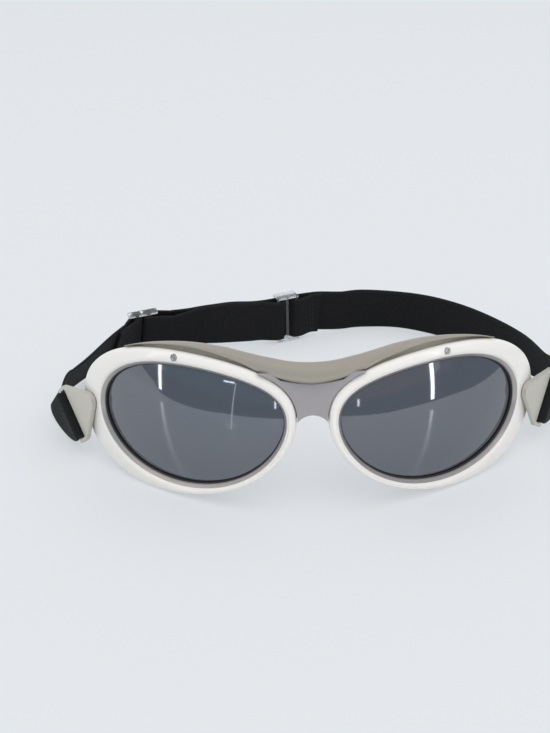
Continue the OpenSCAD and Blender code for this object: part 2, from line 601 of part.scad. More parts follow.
module brow_bar() color(pearl) on_front() loft(brow_rows(0));
module left_rim() color(white) on_front(-1) rim();
module right_rim() color(white) on_front(1) rim();
module left_trim_ring() color(grey) on_front(-1) ring(trim_profile);
module right_trim_ring() color(grey) on_front(1) ring(trim_profile);
module left_lens_seal() color(black) on_front(-1) ring(seal_profile);
module right_lens_seal() color(black) on_front(1) ring(seal_profile);
module left_lens() color(smoke) on_front(-1) lens();
module right_lens() color(smoke) on_front(1) lens();
module left_face_pad() color(foam) on_front(-1) ring(pad_profile);
module right_face_pad() color(foam) on_front(1) ring(pad_profile);
module left_rim_screw() color(grey) on_front(-1) rim_screw();
module right_rim_screw() color(grey) on_front(1) rim_screw();
module left_pivot_bush() color(grey) on_front(-1) pivot_bush();
module right_pivot_bush() color(grey) on_front(1) pivot_bush();
module left_strap_loop() color(pearl) strap_loop(-1);
module right_strap_loop() color(pearl) strap_loop(1);
module left_pivot_screw() color(grey) pivot_screw(-1);
module right_pivot_screw() color(grey) pivot_screw(1);
module left_strap_end() color(black) on_floor(-1) webbing(left_end_run);
module right_strap_end() color(black) on_floor(1) webbing(right_end_run);
module short_strap() color(black) on_floor() webbing(short_run);
module long_strap() color(black) on_floor() webbing(long_run);
module strap_ring() color(clear) on_floor() aligned(ring_o, ring_s, ring_n, ring_u)
    link(ring_len, [-ring_bar_s, ring_bar_s], ring_bar_r, ring_bar_r + 0.5, ring_bar_r + 0.5);
module adjuster_slide() color(clear) on_floor() aligned(slide_o, slide_s, slide_n, slide_u)
    link(slide_len, [-slide_bar_s, 0, slide_bar_s], slide_bar_r, 1.6, slide_plane + strap_t);

echo(lift = lift, mid_y = mid_y, front_y = front_y, back_y = back_y);
echo(pivot = from_loop([0, 0, 0], 0) - [0, mid_y, 0], axis = from_loop([0, -1, 0], 0) - pivot_p);
echo(slide = slide_o - [0, mid_y, 0], slide_axis = slide_s);

frame_front();
brow_bar();
left_rim();
right_rim();
left_trim_ring();
right_trim_ring();
left_lens_seal();
right_lens_seal();
left_lens();
right_lens();
left_face_pad();
right_face_pad();
left_rim_screw();
right_rim_screw();
left_pivot_bush();
right_pivot_bush();
left_strap_loop();
right_strap_loop();
left_pivot_screw();
right_pivot_screw();
left_strap_end();
right_strap_end();
short_strap();
long_strap();
strap_ring();
adjuster_slide();
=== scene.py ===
import math

import bmesh
import bpy
import numpy as np
from mathutils import Matrix, Vector


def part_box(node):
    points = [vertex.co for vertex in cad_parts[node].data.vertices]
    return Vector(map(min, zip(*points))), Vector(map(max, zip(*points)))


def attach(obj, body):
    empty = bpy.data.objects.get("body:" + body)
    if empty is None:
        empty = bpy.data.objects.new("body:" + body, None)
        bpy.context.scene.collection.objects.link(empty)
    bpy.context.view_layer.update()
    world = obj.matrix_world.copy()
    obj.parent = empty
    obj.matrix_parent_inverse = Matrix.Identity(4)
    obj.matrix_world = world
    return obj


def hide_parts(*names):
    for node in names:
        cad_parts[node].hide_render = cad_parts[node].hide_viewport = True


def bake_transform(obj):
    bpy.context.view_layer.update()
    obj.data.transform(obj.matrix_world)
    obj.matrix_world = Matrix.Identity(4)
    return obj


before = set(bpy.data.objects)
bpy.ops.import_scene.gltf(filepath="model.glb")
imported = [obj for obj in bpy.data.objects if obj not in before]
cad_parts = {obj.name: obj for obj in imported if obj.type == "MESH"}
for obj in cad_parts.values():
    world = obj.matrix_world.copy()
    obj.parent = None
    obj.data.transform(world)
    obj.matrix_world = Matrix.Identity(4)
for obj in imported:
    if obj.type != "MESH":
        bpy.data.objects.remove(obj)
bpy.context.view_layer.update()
print("frame loaded:", len(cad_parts), "nodes")

mm = 0.001


# vectors
def unit(v):
    v = np.asarray(v, float)
    return v / np.linalg.norm(v, axis=-1, keepdims=True)


def ramp(s):
    s = np.clip(s, 0, 1)
    return (1 - np.cos(np.pi * s)) / 2


def smoothLine(points, steps):  # Catmull-Rom through the points
    p = np.asarray(points, float)
    last = len(p) - 1
    made = []
    for i in range(last):
        a, b, c, d = (p[min(max(j, 0), last)] for j in range(i - 1, i + 3))
        for k in range(steps):
            s = k / steps
            made.append(
                b + (c - a) * s / 2 + (2 * a - 5 * b + 4 * c - d) * s * s / 2
                + (3 * b - a - 3 * c + d) * s ** 3 / 2
            )
    return np.array(made + [p[-1]])


# objects; points come in millimetres and stay in the mesh, so each object sits at the origin
def newPiece(name, mesh, material=None):
    piece = bpy.data.objects.new(name, mesh)
    bpy.context.scene.collection.objects.link(piece)
    if material:
        piece.data.materials.append(material)
    return piece


def meshOf(name, points, edges=(), faces=()):
    mesh = bpy.data.meshes.new(name)
    mesh.from_pydata([tuple(p) for p in np.reshape(points, (-1, 3)) * mm], edges, faces)
    return mesh


def faceOutward(mesh):
    edit = bmesh.new()
    edit.from_mesh(mesh)
    if edit.calc_volume(signed=True) < 0:
        bmesh.ops.reverse_faces(edit, faces=edit.faces)
    edit.to_mesh(mesh)
    edit.free()


def solidPiece(name, points, faces, finish=None):
    mesh = meshOf(name, points, faces=faces)
    faceOutward(mesh)
    return newPiece(name, mesh, materials.get(finish))


# degrees up to which edges are shaded smooth, and from which they are eased
smoothBelow = {
    "rim": 35, "trim": 35, "seal": 35, "lens": 50, "pad": 60, "brow_bar": 40, "frame": 30,
    "loop": 32, "clear": 35, "screws": 30, "webbing": 50, "stitches": 80,
}
easeAbove = 30


def smoothShade(piece, kind):
    limit = math.radians(smoothBelow[kind])
    edit = bmesh.new()
    edit.from_mesh(piece.data)
    for face in edit.faces:
        face.smooth = True
    for edge in edit.edges:
        edge.smooth = len(edge.link_faces) == 2 and edge.calc_face_angle() < limit
    edit.to_mesh(piece.data)
    edit.free()


def applyModifiers(piece):
    graph = bpy.context.evaluated_depsgraph_get()
    mesh = bpy.data.meshes.new_from_object(piece.evaluated_get(graph))
    piece.modifiers.clear()
    piece.data = mesh


def cutWith(piece, tool, operation="DIFFERENCE"):
    change = piece.modifiers.new("cut", "BOOLEAN")
    change.operation = operation
    change.solver = "EXACT"
    change.object = tool
    applyModifiers(piece)
    bpy.data.objects.remove(tool)


def easeEdges(piece, width, steps):
    ease = piece.modifiers.new("ease", "BEVEL")
    ease.width, ease.segments = width * mm, steps
    ease.limit_method, ease.angle_limit = "ANGLE", math.radians(easeAbove)
    applyModifiers(piece)


def gridFaces(rows, columns, wrapRows=False):  # each row of points is a closed loop
    faces = []
    for i in range(rows if wrapRows else rows - 1):
        for j in range(columns):
            i2, j2 = (i + 1) % rows, (j + 1) % columns
            faces.append((i * columns + j, i2 * columns + j, i2 * columns + j2, i * columns + j2))
    return faces


def tubeFaces(rows, columns):  # the same, with its first and last row closed
    last = (rows - 1) * columns
    caps = [tuple(range(columns)), tuple(range(last + columns - 1, last - 1, -1))]
    return gridFaces(rows, columns) + caps


askew = (0.31, 0.42, 0.85)  # along no bar


def barAlong(base, axis, radius, low, high, sides=48):
    axis = unit(axis)
    across = unit(np.cross(axis, askew))
    third = np.cross(axis, across)
    turn = np.arange(sides) * 2 * np.pi / sides
    circle = np.outer(np.cos(turn), across) * radius + np.outer(np.sin(turn), third) * radius
    points = np.concatenate([circle + base + axis * low, circle + base + axis * high])
    return solidPiece("bar", points, tubeFaces(2, sides))


def finishPiece(piece, body, slot, *nodes):
    smoothShade(piece, slot)
    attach(piece, body)
    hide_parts(*nodes)


# the front surface and the outline of a lens opening, as built in the part
surface = {"wrapRadius": 92.0, "domeRadius": 75.0, "domeHeight": 22.0}
opening = {
    "x": 41.2, "z": 28.0, "width": 65.6, "height": 45.0, "drop": 4.0, "corner": 1.1,
    "square": 1.1, "waveSine": 0.2, "waveCosine": -0.57,
}
rim = {
    "temple": 7.0, "nose": 3.2, "top": 4.0, "bottom": 4.4, "corner": 0.8, "square": -0.56,
    "drop": 1.85, "wave": 0.5, "crown": 1.0, "back": 1.8, "lip": 0.6, "lipWall": 0.7,
    "flatAt": -4.0, "flatSpread": 24.0, "flatShare": 0.9, "steps": 240, "seatDepth": 0.32,
    "seatRadius": 3.7, "seatTo": 6.0,
}


def wrapY(x, z):
    across = surface["wrapRadius"] - np.sqrt(surface["wrapRadius"] ** 2 - x ** 2)
    up = z - surface["domeHeight"]
    return across + surface["domeRadius"] - np.sqrt(surface["domeRadius"] ** 2 - up ** 2)


def wrapNormal(x, z):
    up = z - surface["domeHeight"]
    return unit(np.stack([
        x / np.sqrt(surface["wrapRadius"] ** 2 - x ** 2), -np.ones_like(x),
        up / np.sqrt(surface["domeRadius"] ** 2 - up ** 2),
    ], axis=-1))


def onWrap(x, z, n):
    x, z, n = np.broadcast_arrays(np.asarray(x, float), np.asarray(z, float), np.asarray(n, float))
    return np.stack([x, wrapY(x, z), z], axis=-1) + n[..., None] * wrapNormal(x, z)


def outline(degrees, f):
    a = np.radians(degrees)
    x = opening["x"] + f * (rim["temple"] - rim["nose"]) / 2
    x = x + (opening["width"] / 2 + f * (rim["temple"] + rim["nose"]) / 2) * np.cos(a)
    z = opening["z"] + f * (rim["top"] - rim["bottom"]) / 2
    z = z + (opening["height"] / 2 + f * (rim["top"] + rim["bottom"]) / 2) * np.sin(a)
    z = z - (opening["drop"] + f * rim["drop"]) * np.cos(a)
    z = z + (opening["corner"] + f * rim["corner"]) * np.sin(2 * a)
    z = z + (opening["square"] + f * rim["square"]) * np.cos(2 * a)
    z = z + (opening["waveSine"] + f * rim["wave"]) * np.sin(3 * a)
    return x, z + opening["waveCosine"] * np.cos(3 * a)


def outward(degrees, f):
    x, z = outline(degrees, f)
    after, before = outline(degrees + 0.5, f), outline(degrees - 0.5, f)
    d = unit(onWrap(*after, 0) - onWrap(*before, 0))
    b = np.cross(d, wrapNormal(x, z))
    return b[..., 0], b[..., 2]


def crownAt(degrees):
    d = np.where(degrees > 180, degrees - 360, degrees) - rim["flatAt"]
    return 1 - rim["flatShare"] * np.exp(-d * d / rim["flatSpread"] ** 2)


def spot(degrees, w, f, n):  # w mm outside outline f, n mm in front of the surface
    degrees = np.asarray(degrees, float)
    x, z = outline(degrees, f)
    bx, bz = outward(degrees, f)
    return onWrap(x + w * bx, z + w * bz, n * crownAt(degrees) if n > 0 else n)


turnAngles = np.arange(rim["steps"]) * 360 / rim["steps"]


def ringPoints(profile):
    return np.stack([spot(turnAngles, w, f, n) for w, f, n in profile], axis=1)


crownLine = smoothLine([
    (0, 0, -0.7), (0, 0, -0.35), (0.25, 0, 0.1), (0.7, 0, 0.55), (0, 0.3, 0.9), (0, 0.6, 1.0),
    (-0.9, 1, 0.75), (-0.3, 1, 0.25), (0, 1, -0.5), (0, 1, -1.1),
], 4)
rimProfile = [(0, 0, -rim["back"])] + [tuple(p) for p in crownLine] + [
    (0, 1, -rim["back"] - rim["lip"]), (-rim["lipWall"], 1, -rim["back"] - rim["lip"]),
    (-rim["lipWall"], 1, -rim["back"]), (0, 0.5, -rim["back"]),
]

# the frame gives where the front stands: its own rim's lowest corner against this outline's
rimCorner = ringPoints(rimProfile).reshape(-1, 3).min(axis=0)
frontShift = np.array(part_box("right_rim")[0]) / mm - rimCorner
frontShift[0] = 0
floorShift = np.array([0, frontShift[1], 0])


def placed(points, side=1, shift=frontShift):
    return np.asarray(points) * [side, 1, 1] + shift


def sweptRing(name, profile, side, finish):
    faces = gridFaces(rim["steps"], len(profile), True)
    return solidPiece(name, placed(ringPoints(profile), side), faces, finish)


# node helpers; a socket is linked to an output, or set to a number, name or colour
def fill(node, inputs):
    for label, value in inputs.items():
        socket = node.inputs[label]
        if isinstance(value, bpy.types.NodeSocket):
            node.id_data.links.new(value, socket)
        elif socket.type == "RGBA":
            socket.default_value = (*value, 1)
        else:
            socket.default_value = value


def addNode(tree, kind, inputs=None, **settings):
    node = tree.nodes.new(kind)
    for key, value in settings.items():
        setattr(node, key, value)
    fill(node, inputs or {})
    return node.outputs


def calc(tree, operation, *values, clamp=False):
    inputs = dict(enumerate(values))
    return addNode(tree, "ShaderNodeMath", inputs, operation=operation, use_clamp=clamp)[0]


def mixColors(tree, share, a, b):
    inputs = {"Factor": share, "A": a, "B": b}
    return addNode(tree, "ShaderNodeMix", inputs, data_type="RGBA")["Result"]


def newMaterial(name):
    material = bpy.data.materials.new(name)
    material.use_nodes = True
    return material, material.node_tree, material.node_tree.nodes["Principled BSDF"]


def newGroup(name, kind, inputs, outputs):  # label: kind of socket, or a number to start from
    tree = bpy.data.node_groups.new(name, kind)
    for direction, sockets in (("INPUT", inputs), ("OUTPUT", outputs)):
        for label, value in sockets.items():
            isKind = isinstance(value, str)
            socket = tree.interface.new_socket(
                label, in_out=direction, socket_type="NodeSocket" + (value if isKind else "Float")
            )
            if not isKind:
                socket.default_value = value
    return tree, tree.nodes.new("NodeGroupInput").outputs


# what a finish has where it doesn't say; sizes and depths are in metres
plainLook = {
    "patchSize": 0.012, "grainSize": 0.0004, "patch": 0.4, "grain": 0.3, "roughness": 0.3,
    "spread": 0.1, "bump": 0.1, "bumpDepth": 0.00002, "metallic": 0, "coat": 0,
    "coatRoughness": 0.05, "ior": 1.5, "sheen": 0, "sheenRoughness": 0.5, "transmission": 0,
    "alpha": 1,
}
grainInputs = {
    "Patch Size": "patchSize", "Grain Size": "grainSize", "Patch Amount": "patch",
    "Grain Amount": "grain", "Roughness": "roughness", "Roughness Spread": "spread",
}


def noiseAt(tree, place, scale, detail=2.0):
    inputs = {"Vector": place, "Scale": scale, "Detail": detail}
    return addNode(tree, "ShaderNodeTexNoise", inputs)["Fac"]


# fine unevenness that every moulded, lacquered or metal finish has
def surfaceGrainGroup():
    sizes = {label: plainLook[key] for label, key in grainInputs.items()}
    tree, start = newGroup("surfaceGrain", "ShaderNodeTree",
                           {"Color": "Color", "Shade": "Color", **sizes},
                           {"Color": "Color", "Roughness": "Float", "Height": "Float"})
    place = addNode(tree, "ShaderNodeTexCoord")["Object"]
    patch, grain = (noiseAt(tree, place, calc(tree, "DIVIDE", 1.0, start[size]), detail)
                    for size, detail in (("Patch Size", 3), ("Grain Size", 2)))
    share = calc(tree, "ADD", calc(tree, "MULTIPLY", patch, start["Patch Amount"]),
                 calc(tree, "MULTIPLY", grain, start["Grain Amount"]), clamp=True)
    wander = calc(tree, "MULTIPLY", calc(tree, "SUBTRACT", patch, 0.5), start["Roughness Spread"])
    addNode(tree, "NodeGroupOutput", {
        "Color": mixColors(tree, share, start["Color"], start["Shade"]),
        "Roughness": calc(tree, "ADD", start["Roughness"], wander, clamp=True), "Height": grain,
    })
    return tree


surfaceGrain = surfaceGrainGroup()


def grainMaterial(name, look):
    look = {**plainLook, **look}
    material, tree, shader = newMaterial(name)
    grain = addNode(tree, "ShaderNodeGroup", {
        "Color": look["color"], "Shade": look["shade"],
        **{label: look[key] for label, key in grainInputs.items()},
    }, node_tree=surfaceGrain)
    bump = addNode(tree, "ShaderNodeBump", {
        "Strength": look["bump"], "Distance": look["bumpDepth"], "Height": grain["Height"],
    })
    fill(shader, {
        "Base Color": grain["Color"], "Roughness": grain["Roughness"],
        "Normal": bump["Normal"], "Metallic": look["metallic"], "IOR": look["ior"],
        "Coat Weight": look["coat"], "Coat Roughness": look["coatRoughness"],
        "Sheen Weight": look["sheen"], "Sheen Roughness": look["sheenRoughness"],
        "Transmission Weight": look["transmission"], "Alpha": look["alpha"],
    })
    return material


finishes = {
    "whiteLacquer": {
        "color": (0.87, 0.855, 0.83), "shade": (0.83, 0.815, 0.785), "patchSize": 0.02,
        "grainSize": 0.0006, "patch": 0.5, "grain": 0.1, "roughness": 0.16, "spread": 0.08,
        "bump": 0.05, "bumpDepth": 0.00003, "coat": 0.3, "coatRoughness": 0.06,
    },
    "pearlLacquer": {
        "color": (0.42, 0.39, 0.33), "shade": (0.37, 0.35, 0.295), "patchSize": 0.016,
        "grainSize": 0.00025, "grain": 0.5, "roughness": 0.42, "spread": 0.12, "bump": 0.12,
        "bumpDepth": 0.00003, "metallic": 0.4, "coat": 0.12, "coatRoughness": 0.25,
    },
    "mauveLacquer": {
        "color": (0.38, 0.362, 0.378), "shade": (0.33, 0.315, 0.33), "grainSize": 0.0003,
        "grain": 0.35, "roughness": 0.42, "bump": 0.15, "bumpDepth": 0.00003, "metallic": 0.15,
    },
    "taupeMetal": {
        "color": (0.52, 0.49, 0.475), "shade": (0.40, 0.375, 0.365), "patchSize": 0.01,
        "grainSize": 0.0002, "roughness": 0.32, "metallic": 0.75,
    },
    "sealRubber": {
        "color": (0.022, 0.022, 0.024), "shade": (0.035, 0.034, 0.034), "patchSize": 0.006,
        "grainSize": 0.0002, "grain": 0.4, "roughness": 0.55, "spread": 0.15, "bump": 0.25,
        "bumpDepth": 0.00004,
    },
    "loopSatin": {
        "color": (0.61, 0.595, 0.525), "shade": (0.54, 0.53, 0.47), "patchSize": 0.008,
        "grainSize": 0.00018, "patch": 0.45, "grain": 0.35, "roughness": 0.34, "spread": 0.12,
        "bump": 0.12, "metallic": 0.55,
    },
    "screwSteel": {
        "color": (0.62, 0.61, 0.58), "shade": (0.30, 0.29, 0.27), "patchSize": 0.0012,
        "grainSize": 0.0001, "patch": 0.6, "roughness": 0.26, "spread": 0.15, "bump": 0.15,
        "metallic": 0.85,
    },
    "bushBrass": {
        "color": (0.6, 0.46, 0.24), "shade": (0.42, 0.32, 0.17), "patchSize": 0.002,
        "grainSize": 0.0001, "metallic": 0.95,
    },
    "padFoam": {
        "color": (0.045, 0.045, 0.048), "shade": (0.075, 0.074, 0.075), "patchSize": 0.004,
        "grainSize": 0.00035, "patch": 0.3, "grain": 0.8, "roughness": 0.9, "bump": 0.7,
        "bumpDepth": 0.0002, "sheen": 0.25, "sheenRoughness": 0.4,
    },
    "smokeMirror": {
        "color": (0.205, 0.218, 0.243), "shade": (0.178, 0.192, 0.22), "patchSize": 0.03,
        "patch": 0.6, "grain": 0, "roughness": 0.045, "spread": 0.03, "bump": 0, "metallic": 1,
        "alpha": 0.94,
    },
    "clearPlastic": {
        "color": (0.95, 0.965, 0.975), "shade": (0.78, 0.82, 0.84), "patchSize": 0.004,
        "grainSize": 0.0003, "grain": 0.2, "roughness": 0.32, "spread": 0.08,
        "bumpDepth": 0.00003, "ior": 1.3, "transmission": 0.93,
    },
    "blackThread": {
        "color": (0.02, 0.02, 0.021), "shade": (0.04, 0.04, 0.042), "patchSize": 0.001,
        "grainSize": 0.0002, "patch": 0.3, "grain": 0.5, "roughness": 0.55, "bump": 0.4,
        "bumpDepth": 0.00004,
    },
}
materials = {name: grainMaterial(name, look) for name, look in finishes.items()}

# the crest colour is a painted highlight on the weave's raised crests and edge bands, with its
# hollows left darker as painted shade
webLook = {
    "color": (0.0075, 0.0078, 0.0088), "crestHighlight": (0.019, 0.0195, 0.0215), "crestHighlightShare": 0.7,
    "pickLength": 0.0011, "ribWidth": 0.00072, "edgeBand": 0.0011, "edgeHeight": 0.8,
    "halfWidth": 0.00925, "fuzz": 0.35, "fuzzScale": 2400, "bump": 0.9, "depth": 0.00016,
    "roughness": 0.78, "sheen": 0.02, "sheenRoughness": 0.4, "specular": 0.15,
}


def webbingMaterial(look):  # plain weave that follows the strap's own length and width
    material, tree, shader = newMaterial("blackWebbing")
    along, across = (
        addNode(tree, "ShaderNodeAttribute", attribute_name=name)["Fac"]
        for name in ("webAlong", "webAcross")
    )
    rib = calc(tree, "DIVIDE", across, look["ribWidth"])
    odd = calc(tree, "FLOORED_MODULO", calc(tree, "FLOOR", rib), 2.0)
    pick = calc(tree, "DIVIDE", along, look["pickLength"])
    pick = calc(tree, "ADD", pick, calc(tree, "MULTIPLY", odd, 0.5))
    waves = [
        calc(tree, "SINE", calc(tree, "MULTIPLY", calc(tree, "FRACT", value), math.pi))
        for value in (rib, pick)
    ]
    inset = calc(tree, "SUBTRACT", look["halfWidth"], calc(tree, "ABSOLUTE", across))
    edge = calc(tree, "MULTIPLY", calc(tree, "LESS_THAN", inset, look["edgeBand"]),
                look["edgeHeight"])
    height = calc(tree, "MAXIMUM", calc(tree, "MULTIPLY", *waves), edge)
    place = addNode(tree, "ShaderNodeTexCoord")["Object"]
    fuzz = calc(tree, "MULTIPLY", noiseAt(tree, place, look["fuzzScale"]), look["fuzz"])
    height = calc(tree, "ADD", height, fuzz)
    # colour follows the bump height: painted highlight on crests and raised edge bands, painted
    # shade in the hollows, plus a little random fuzz in tone
    share = calc(tree, "MULTIPLY", height, look["crestHighlightShare"], clamp=True)
    bump = addNode(tree, "ShaderNodeBump", {
        "Strength": look["bump"], "Distance": look["depth"], "Height": height,
    })
    fill(shader, {
        "Base Color": mixColors(tree, share, look["color"], look["crestHighlight"]),
        "Normal": bump["Normal"], "Roughness": look["roughness"],
        "Sheen Weight": look["sheen"], "Sheen Roughness": look["sheenRoughness"],
        "Specular IOR Level": look["specular"],
    })
    return material


materials["blackWebbing"] = webbingMaterial(webLook)
print("materials made:", len(materials))

# camera at the photograph's angle; its picture is 550 by 733 and the sensor lies along the height
cameraLook = {
    "place": (-0.0115127, -0.4087, 0.20474), "pitch": 24.569, "heading": -0.037, "roll": -1.36,
    "focalPixels": 1150.0, "pictureHeight": 733, "sensor": 36.0, "clip": (0.01, 50),
}


def makeCamera(look):
    data = bpy.data.cameras.new("camera")
    data.sensor_width = look["sensor"]
    data.lens = look["focalPixels"] / look["pictureHeight"] * look["sensor"]
    data.clip_start, data.clip_end = look["clip"]
    camera = bpy.data.objects.new("camera", data)
    bpy.context.scene.collection.objects.link(camera)
    pitch, heading, roll = (math.radians(look[k]) for k in ("pitch", "heading", "roll"))
    forward = Vector((
        math.sin(heading) * math.cos(pitch), math.cos(heading) * math.cos(pitch), -math.sin(pitch)
    ))
    level = Vector((math.cos(heading), -math.sin(heading), 0))
    upright = level.cross(forward)
    right = level * math.cos(roll) + upright * math.sin(roll)
    up = upright * math.cos(roll) - level * math.sin(roll)
    turned = Matrix((right, up, -forward)).transposed().to_4x4()
    camera.matrix_world = Matrix.Translation(look["place"]) @ turned
    bpy.context.scene.camera = camera


makeCamera(cameraLook)
print("camera made")

# glossy white rims, each with its screw's recess and the seat under its strap loop
screw = {
    "at": 86.0, "acrossRim": 0.45, "headRadius": 1.25, "gap": 0.05, "headDepth": 0.6,
    "cutTo": 4.0, "slotWidth": 0.4, "slotLength": 5.0,
    "slotTurns": ((0.5, 0.2, 0.84), (-0.75, 0.1, 0.65)),
}
screwX, screwZ = outline(np.array(screw["at"]), screw["acrossRim"])
screwBase = onWrap(screwX, screwZ, 0)
screwNormal = wrapNormal(screwX, screwZ)
pivot = {"x": 77.3, "z": 24.2, "flare": 8.0, "droop": {-1: 40.0, 1: 31.0}}
pivotTurn = math.asin(pivot["x"] / surface["wrapRadius"]) - math.radians(pivot["flare"])
pivotTilt = math.asin((pivot["z"] - surface["domeHeight"]) / surface["domeRadius"])
pivotPoint = onWrap(pivot["x"], pivot["z"], 0) + [0, 0, frontShift[2]]


def turned(v, axis, angle):
    return np.array(Matrix.Rotation(angle, 3, axis) @ Vector(v))


def loopDirection(v, side):  # X runs to the strap bar, Z along the bar, -Y outwards
    v = turned(v, "Y", math.radians(pivot["droop"][side]))
    return turned(turned(v, "X", -pivotTilt), "Z", pivotTurn)


pivotAxis = loopDirection((0, -1, 0), 1)


def barOn(side, base, axis, radius, low, high, shift=floorShift):
    return barAlong(placed(base, side, shift), axis * [side, 1, 1], radius, low, high)


def makeRim(name, side):
    piece = sweptRing(name + "_rim_cover", rimProfile, side, "whiteLacquer")
    cutWith(piece, barOn(side, screwBase, screwNormal, screw["headRadius"] + screw["gap"],
                         rim["crown"] - screw["headDepth"], screw["cutTo"], frontShift))
    cutWith(piece, barOn(side, pivotPoint, pivotAxis, rim["seatRadius"], rim["seatDepth"],
                         rim["seatTo"]))
    finishPiece(piece, "frame", "rim", name + "_rim")


sides = {"left": -1, "right": 1}
for name, side in sides.items():
    makeRim(name, side)
print("rims made")

# trim rings, seals and lenses
trim = {
    "width": 0.85, "bevel": 1.0, "front": -0.3, "round": 0.12, "gap": 0.05, "frontRise": 0.02,
    "cornerDrop": 0.1,
}
seal = {
    "lipWidth": 1.15, "lip": 0.6, "wall": 0.6, "gap": 0.05, "step": 0.2, "roundDrop": 0.12,
    "edgeDrop": 0.3, "edgeRound": 0.03,
}
lensShape = {"thickness": 2.0, "gap": 0.05, "loops": 14}
rimSeat = -rim["back"] - seal["gap"]
lensFront = rimSeat - seal["lip"] - lensShape["gap"]
lensRear = lensFront - lensShape["thickness"]

trimProfile = [
    (-trim["gap"], 0, trim["front"]),
    (-trim["gap"] - trim["round"], 0, trim["front"] + trim["frontRise"]),
    (-trim["width"] + trim["round"], 0, trim["front"] - trim["bevel"] + trim["round"]),
    (-trim["width"], 0, trim["front"] - trim["bevel"] - trim["cornerDrop"]),
    (-trim["width"], 0, -rim["back"]), (-trim["gap"], 0, -rim["back"]),
]
sealProfile = [
    (-seal["lipWidth"], 0, rimSeat - seal["edgeDrop"]),
    (-seal["lipWidth"] + seal["edgeRound"], 0, rimSeat - seal["roundDrop"]),
    (-trim["width"] - seal["step"], 0, rimSeat), (seal["wall"], 0, rimSeat),
    (seal["wall"], 0, lensRear), (0, 0, lensRear), (0, 0, rimSeat - seal["lip"]),
    (-seal["lipWidth"], 0, rimSeat - seal["lip"]),
]


def makeLens(name, side):
    shares = np.sin(np.linspace(1, 0, lensShape["loops"] + 1)[:-1] * np.pi / 2)
    edgeX, edgeZ = outline(turnAngles, 0)
    bx, bz = outward(turnAngles, 0)
    edgeX, edgeZ = edgeX - lensShape["gap"] * bx, edgeZ - lensShape["gap"] * bz
    rows = []
    for n, order in ((lensFront, shares[::-1]), (lensRear, shares)):
        for t in order:
            x = opening["x"] + (edgeX - opening["x"]) * t
            z = opening["z"] + (edgeZ - opening["z"]) * t
            rows.append(onWrap(x, z, n))
    points = np.concatenate(rows + [onWrap(opening["x"], opening["z"], n)[None]
                                    for n in (lensFront, lensRear)])
    steps, tip = rim["steps"], len(rows) * rim["steps"]
    faces = gridFaces(len(rows), steps)
    for i in range(steps):
        j = (i + 1) % steps
        faces += [(i, j, tip), (tip - steps + j, tip - steps + i, tip + 1)]
    piece = solidPiece(name + "_smoke_lens", placed(points, side), faces, "smokeMirror")
    finishPiece(piece, "frame", "lens", name + "_lens")


for name, side in sides.items():
    bezel = sweptRing(name + "_trim_bezel", trimProfile, side, "taupeMetal")
    finishPiece(bezel, "frame", "trim", name + "_trim_ring")
    gasket = sweptRing(name + "_gasket", sealProfile, side, "sealRubber")
    finishPiece(gasket, "frame", "seal", name + "_lens_seal")
    makeLens(name, side)
print("trim rings, seals and lenses made")

# foam face pads: a crowned ring with soft dents where it is cut to the face
pad = {
    "thickness": 3.0, "frameBack": 8.6, "gap": 0.05, "ledge": 2.7, "dent": 0.18, "dents": 9,
    "fill": 0.7, "innerInset": 0.3, "outerInset": 0.4, "foot": 0.3, "wall": 1.3,
    "shoulder": 0.35, "wallLean": (0.05, 0.1), "shoulderWidth": (0.8, 0.7),
    "crownWidth": (2.1, 2),
}


def makePad(name, side):
    base, top = -pad["frameBack"] - pad["gap"], -pad["frameBack"] - pad["thickness"]
    inner = -pad["ledge"] + pad["innerInset"]
    outer = -rim["lipWall"] - pad["gap"] - pad["outerInset"]
    foot, wall, shoulder = base - pad["foot"], base - pad["wall"], top + pad["shoulder"]
    lean, bend, crown = pad["wallLean"], pad["shoulderWidth"], pad["crownWidth"]
    path = smoothLine([
        (inner, 0, foot), (inner + lean[0], 0, wall), (inner + bend[0], 0, shoulder),
        (inner + crown[0], 0, top), (outer - crown[1], 1, top), (outer - bend[1], 1, shoulder),
        (outer - lean[1], 1, wall), (outer, 1, foot),
    ], 4)
    profile = [(inner, 0, base)] + [tuple(p) for p in path] + [(outer, 1, base), (0, 0.5, base)]
    points = ringPoints(profile)
    normals = wrapNormal(points[..., 0], points[..., 2])
    wave = (1 - np.cos(np.radians(turnAngles) * pad["dents"])) / 2 * pad["dent"]
    depth = np.clip((np.array([p[2] for p in profile]) - base) / (top - base), 0, 1)
    points = points + normals * (wave[:, None] * depth[None, :] ** 2)[..., None]
    faces = gridFaces(rim["steps"], len(profile), True)
    piece = solidPiece(name + "_foam_pad", placed(points, side), faces, "padFoam")
    finishPiece(piece, "frame", "pad", name + "_face_pad")


for name, side in sides.items():
    makePad(name, side)
print("face pads made")

# brow bar: one lofted section on the rims' edges and over the nose, parted from them by a groove
brow = {
    "height": 7.4, "depth": 8.4, "bulge": 1.1, "step": 2.6, "midHeight": 46.4, "gap": 0.05,
    "grooveDepth": 2.2, "lip": 0.5, "round": 0.25, "sectionSteps": 5, "steps": 6,
}
# along a rim: angle, width of the groove, share of the height
browRim = [
    (60, 0.25, 0.04), (66, 0.5, 0.076), (72, 0.75, 0.115), (78, 1, 0.15), (84, 1.25, 0.19),
    (90, 1.5, 0.23), (96, 1.7, 0.26), (102, 1.6, 0.31), (108, 1.4, 0.38), (114, 1.15, 0.43),
    (120, 0.95, 0.48), (126, 0.65, 0.57),
]
# over the nose: distance from the middle, height above the middle, share of the step forward,
# share of the turn to upright, width of the groove, share of the height
browNose = [
    (18.5, 3.45, 0.05, 0.35, 0.35, 0.65), (14.5, 2.15, 0.3, 0.6, 0.5, 0.74),
    (10, 1.16, 0.66, 0.8, 0.52, 0.79), (5, 0.39, 0.93, 0.95, 0.52, 0.84),
    (0, 0, 1, 1, 0.52, 0.88),
]


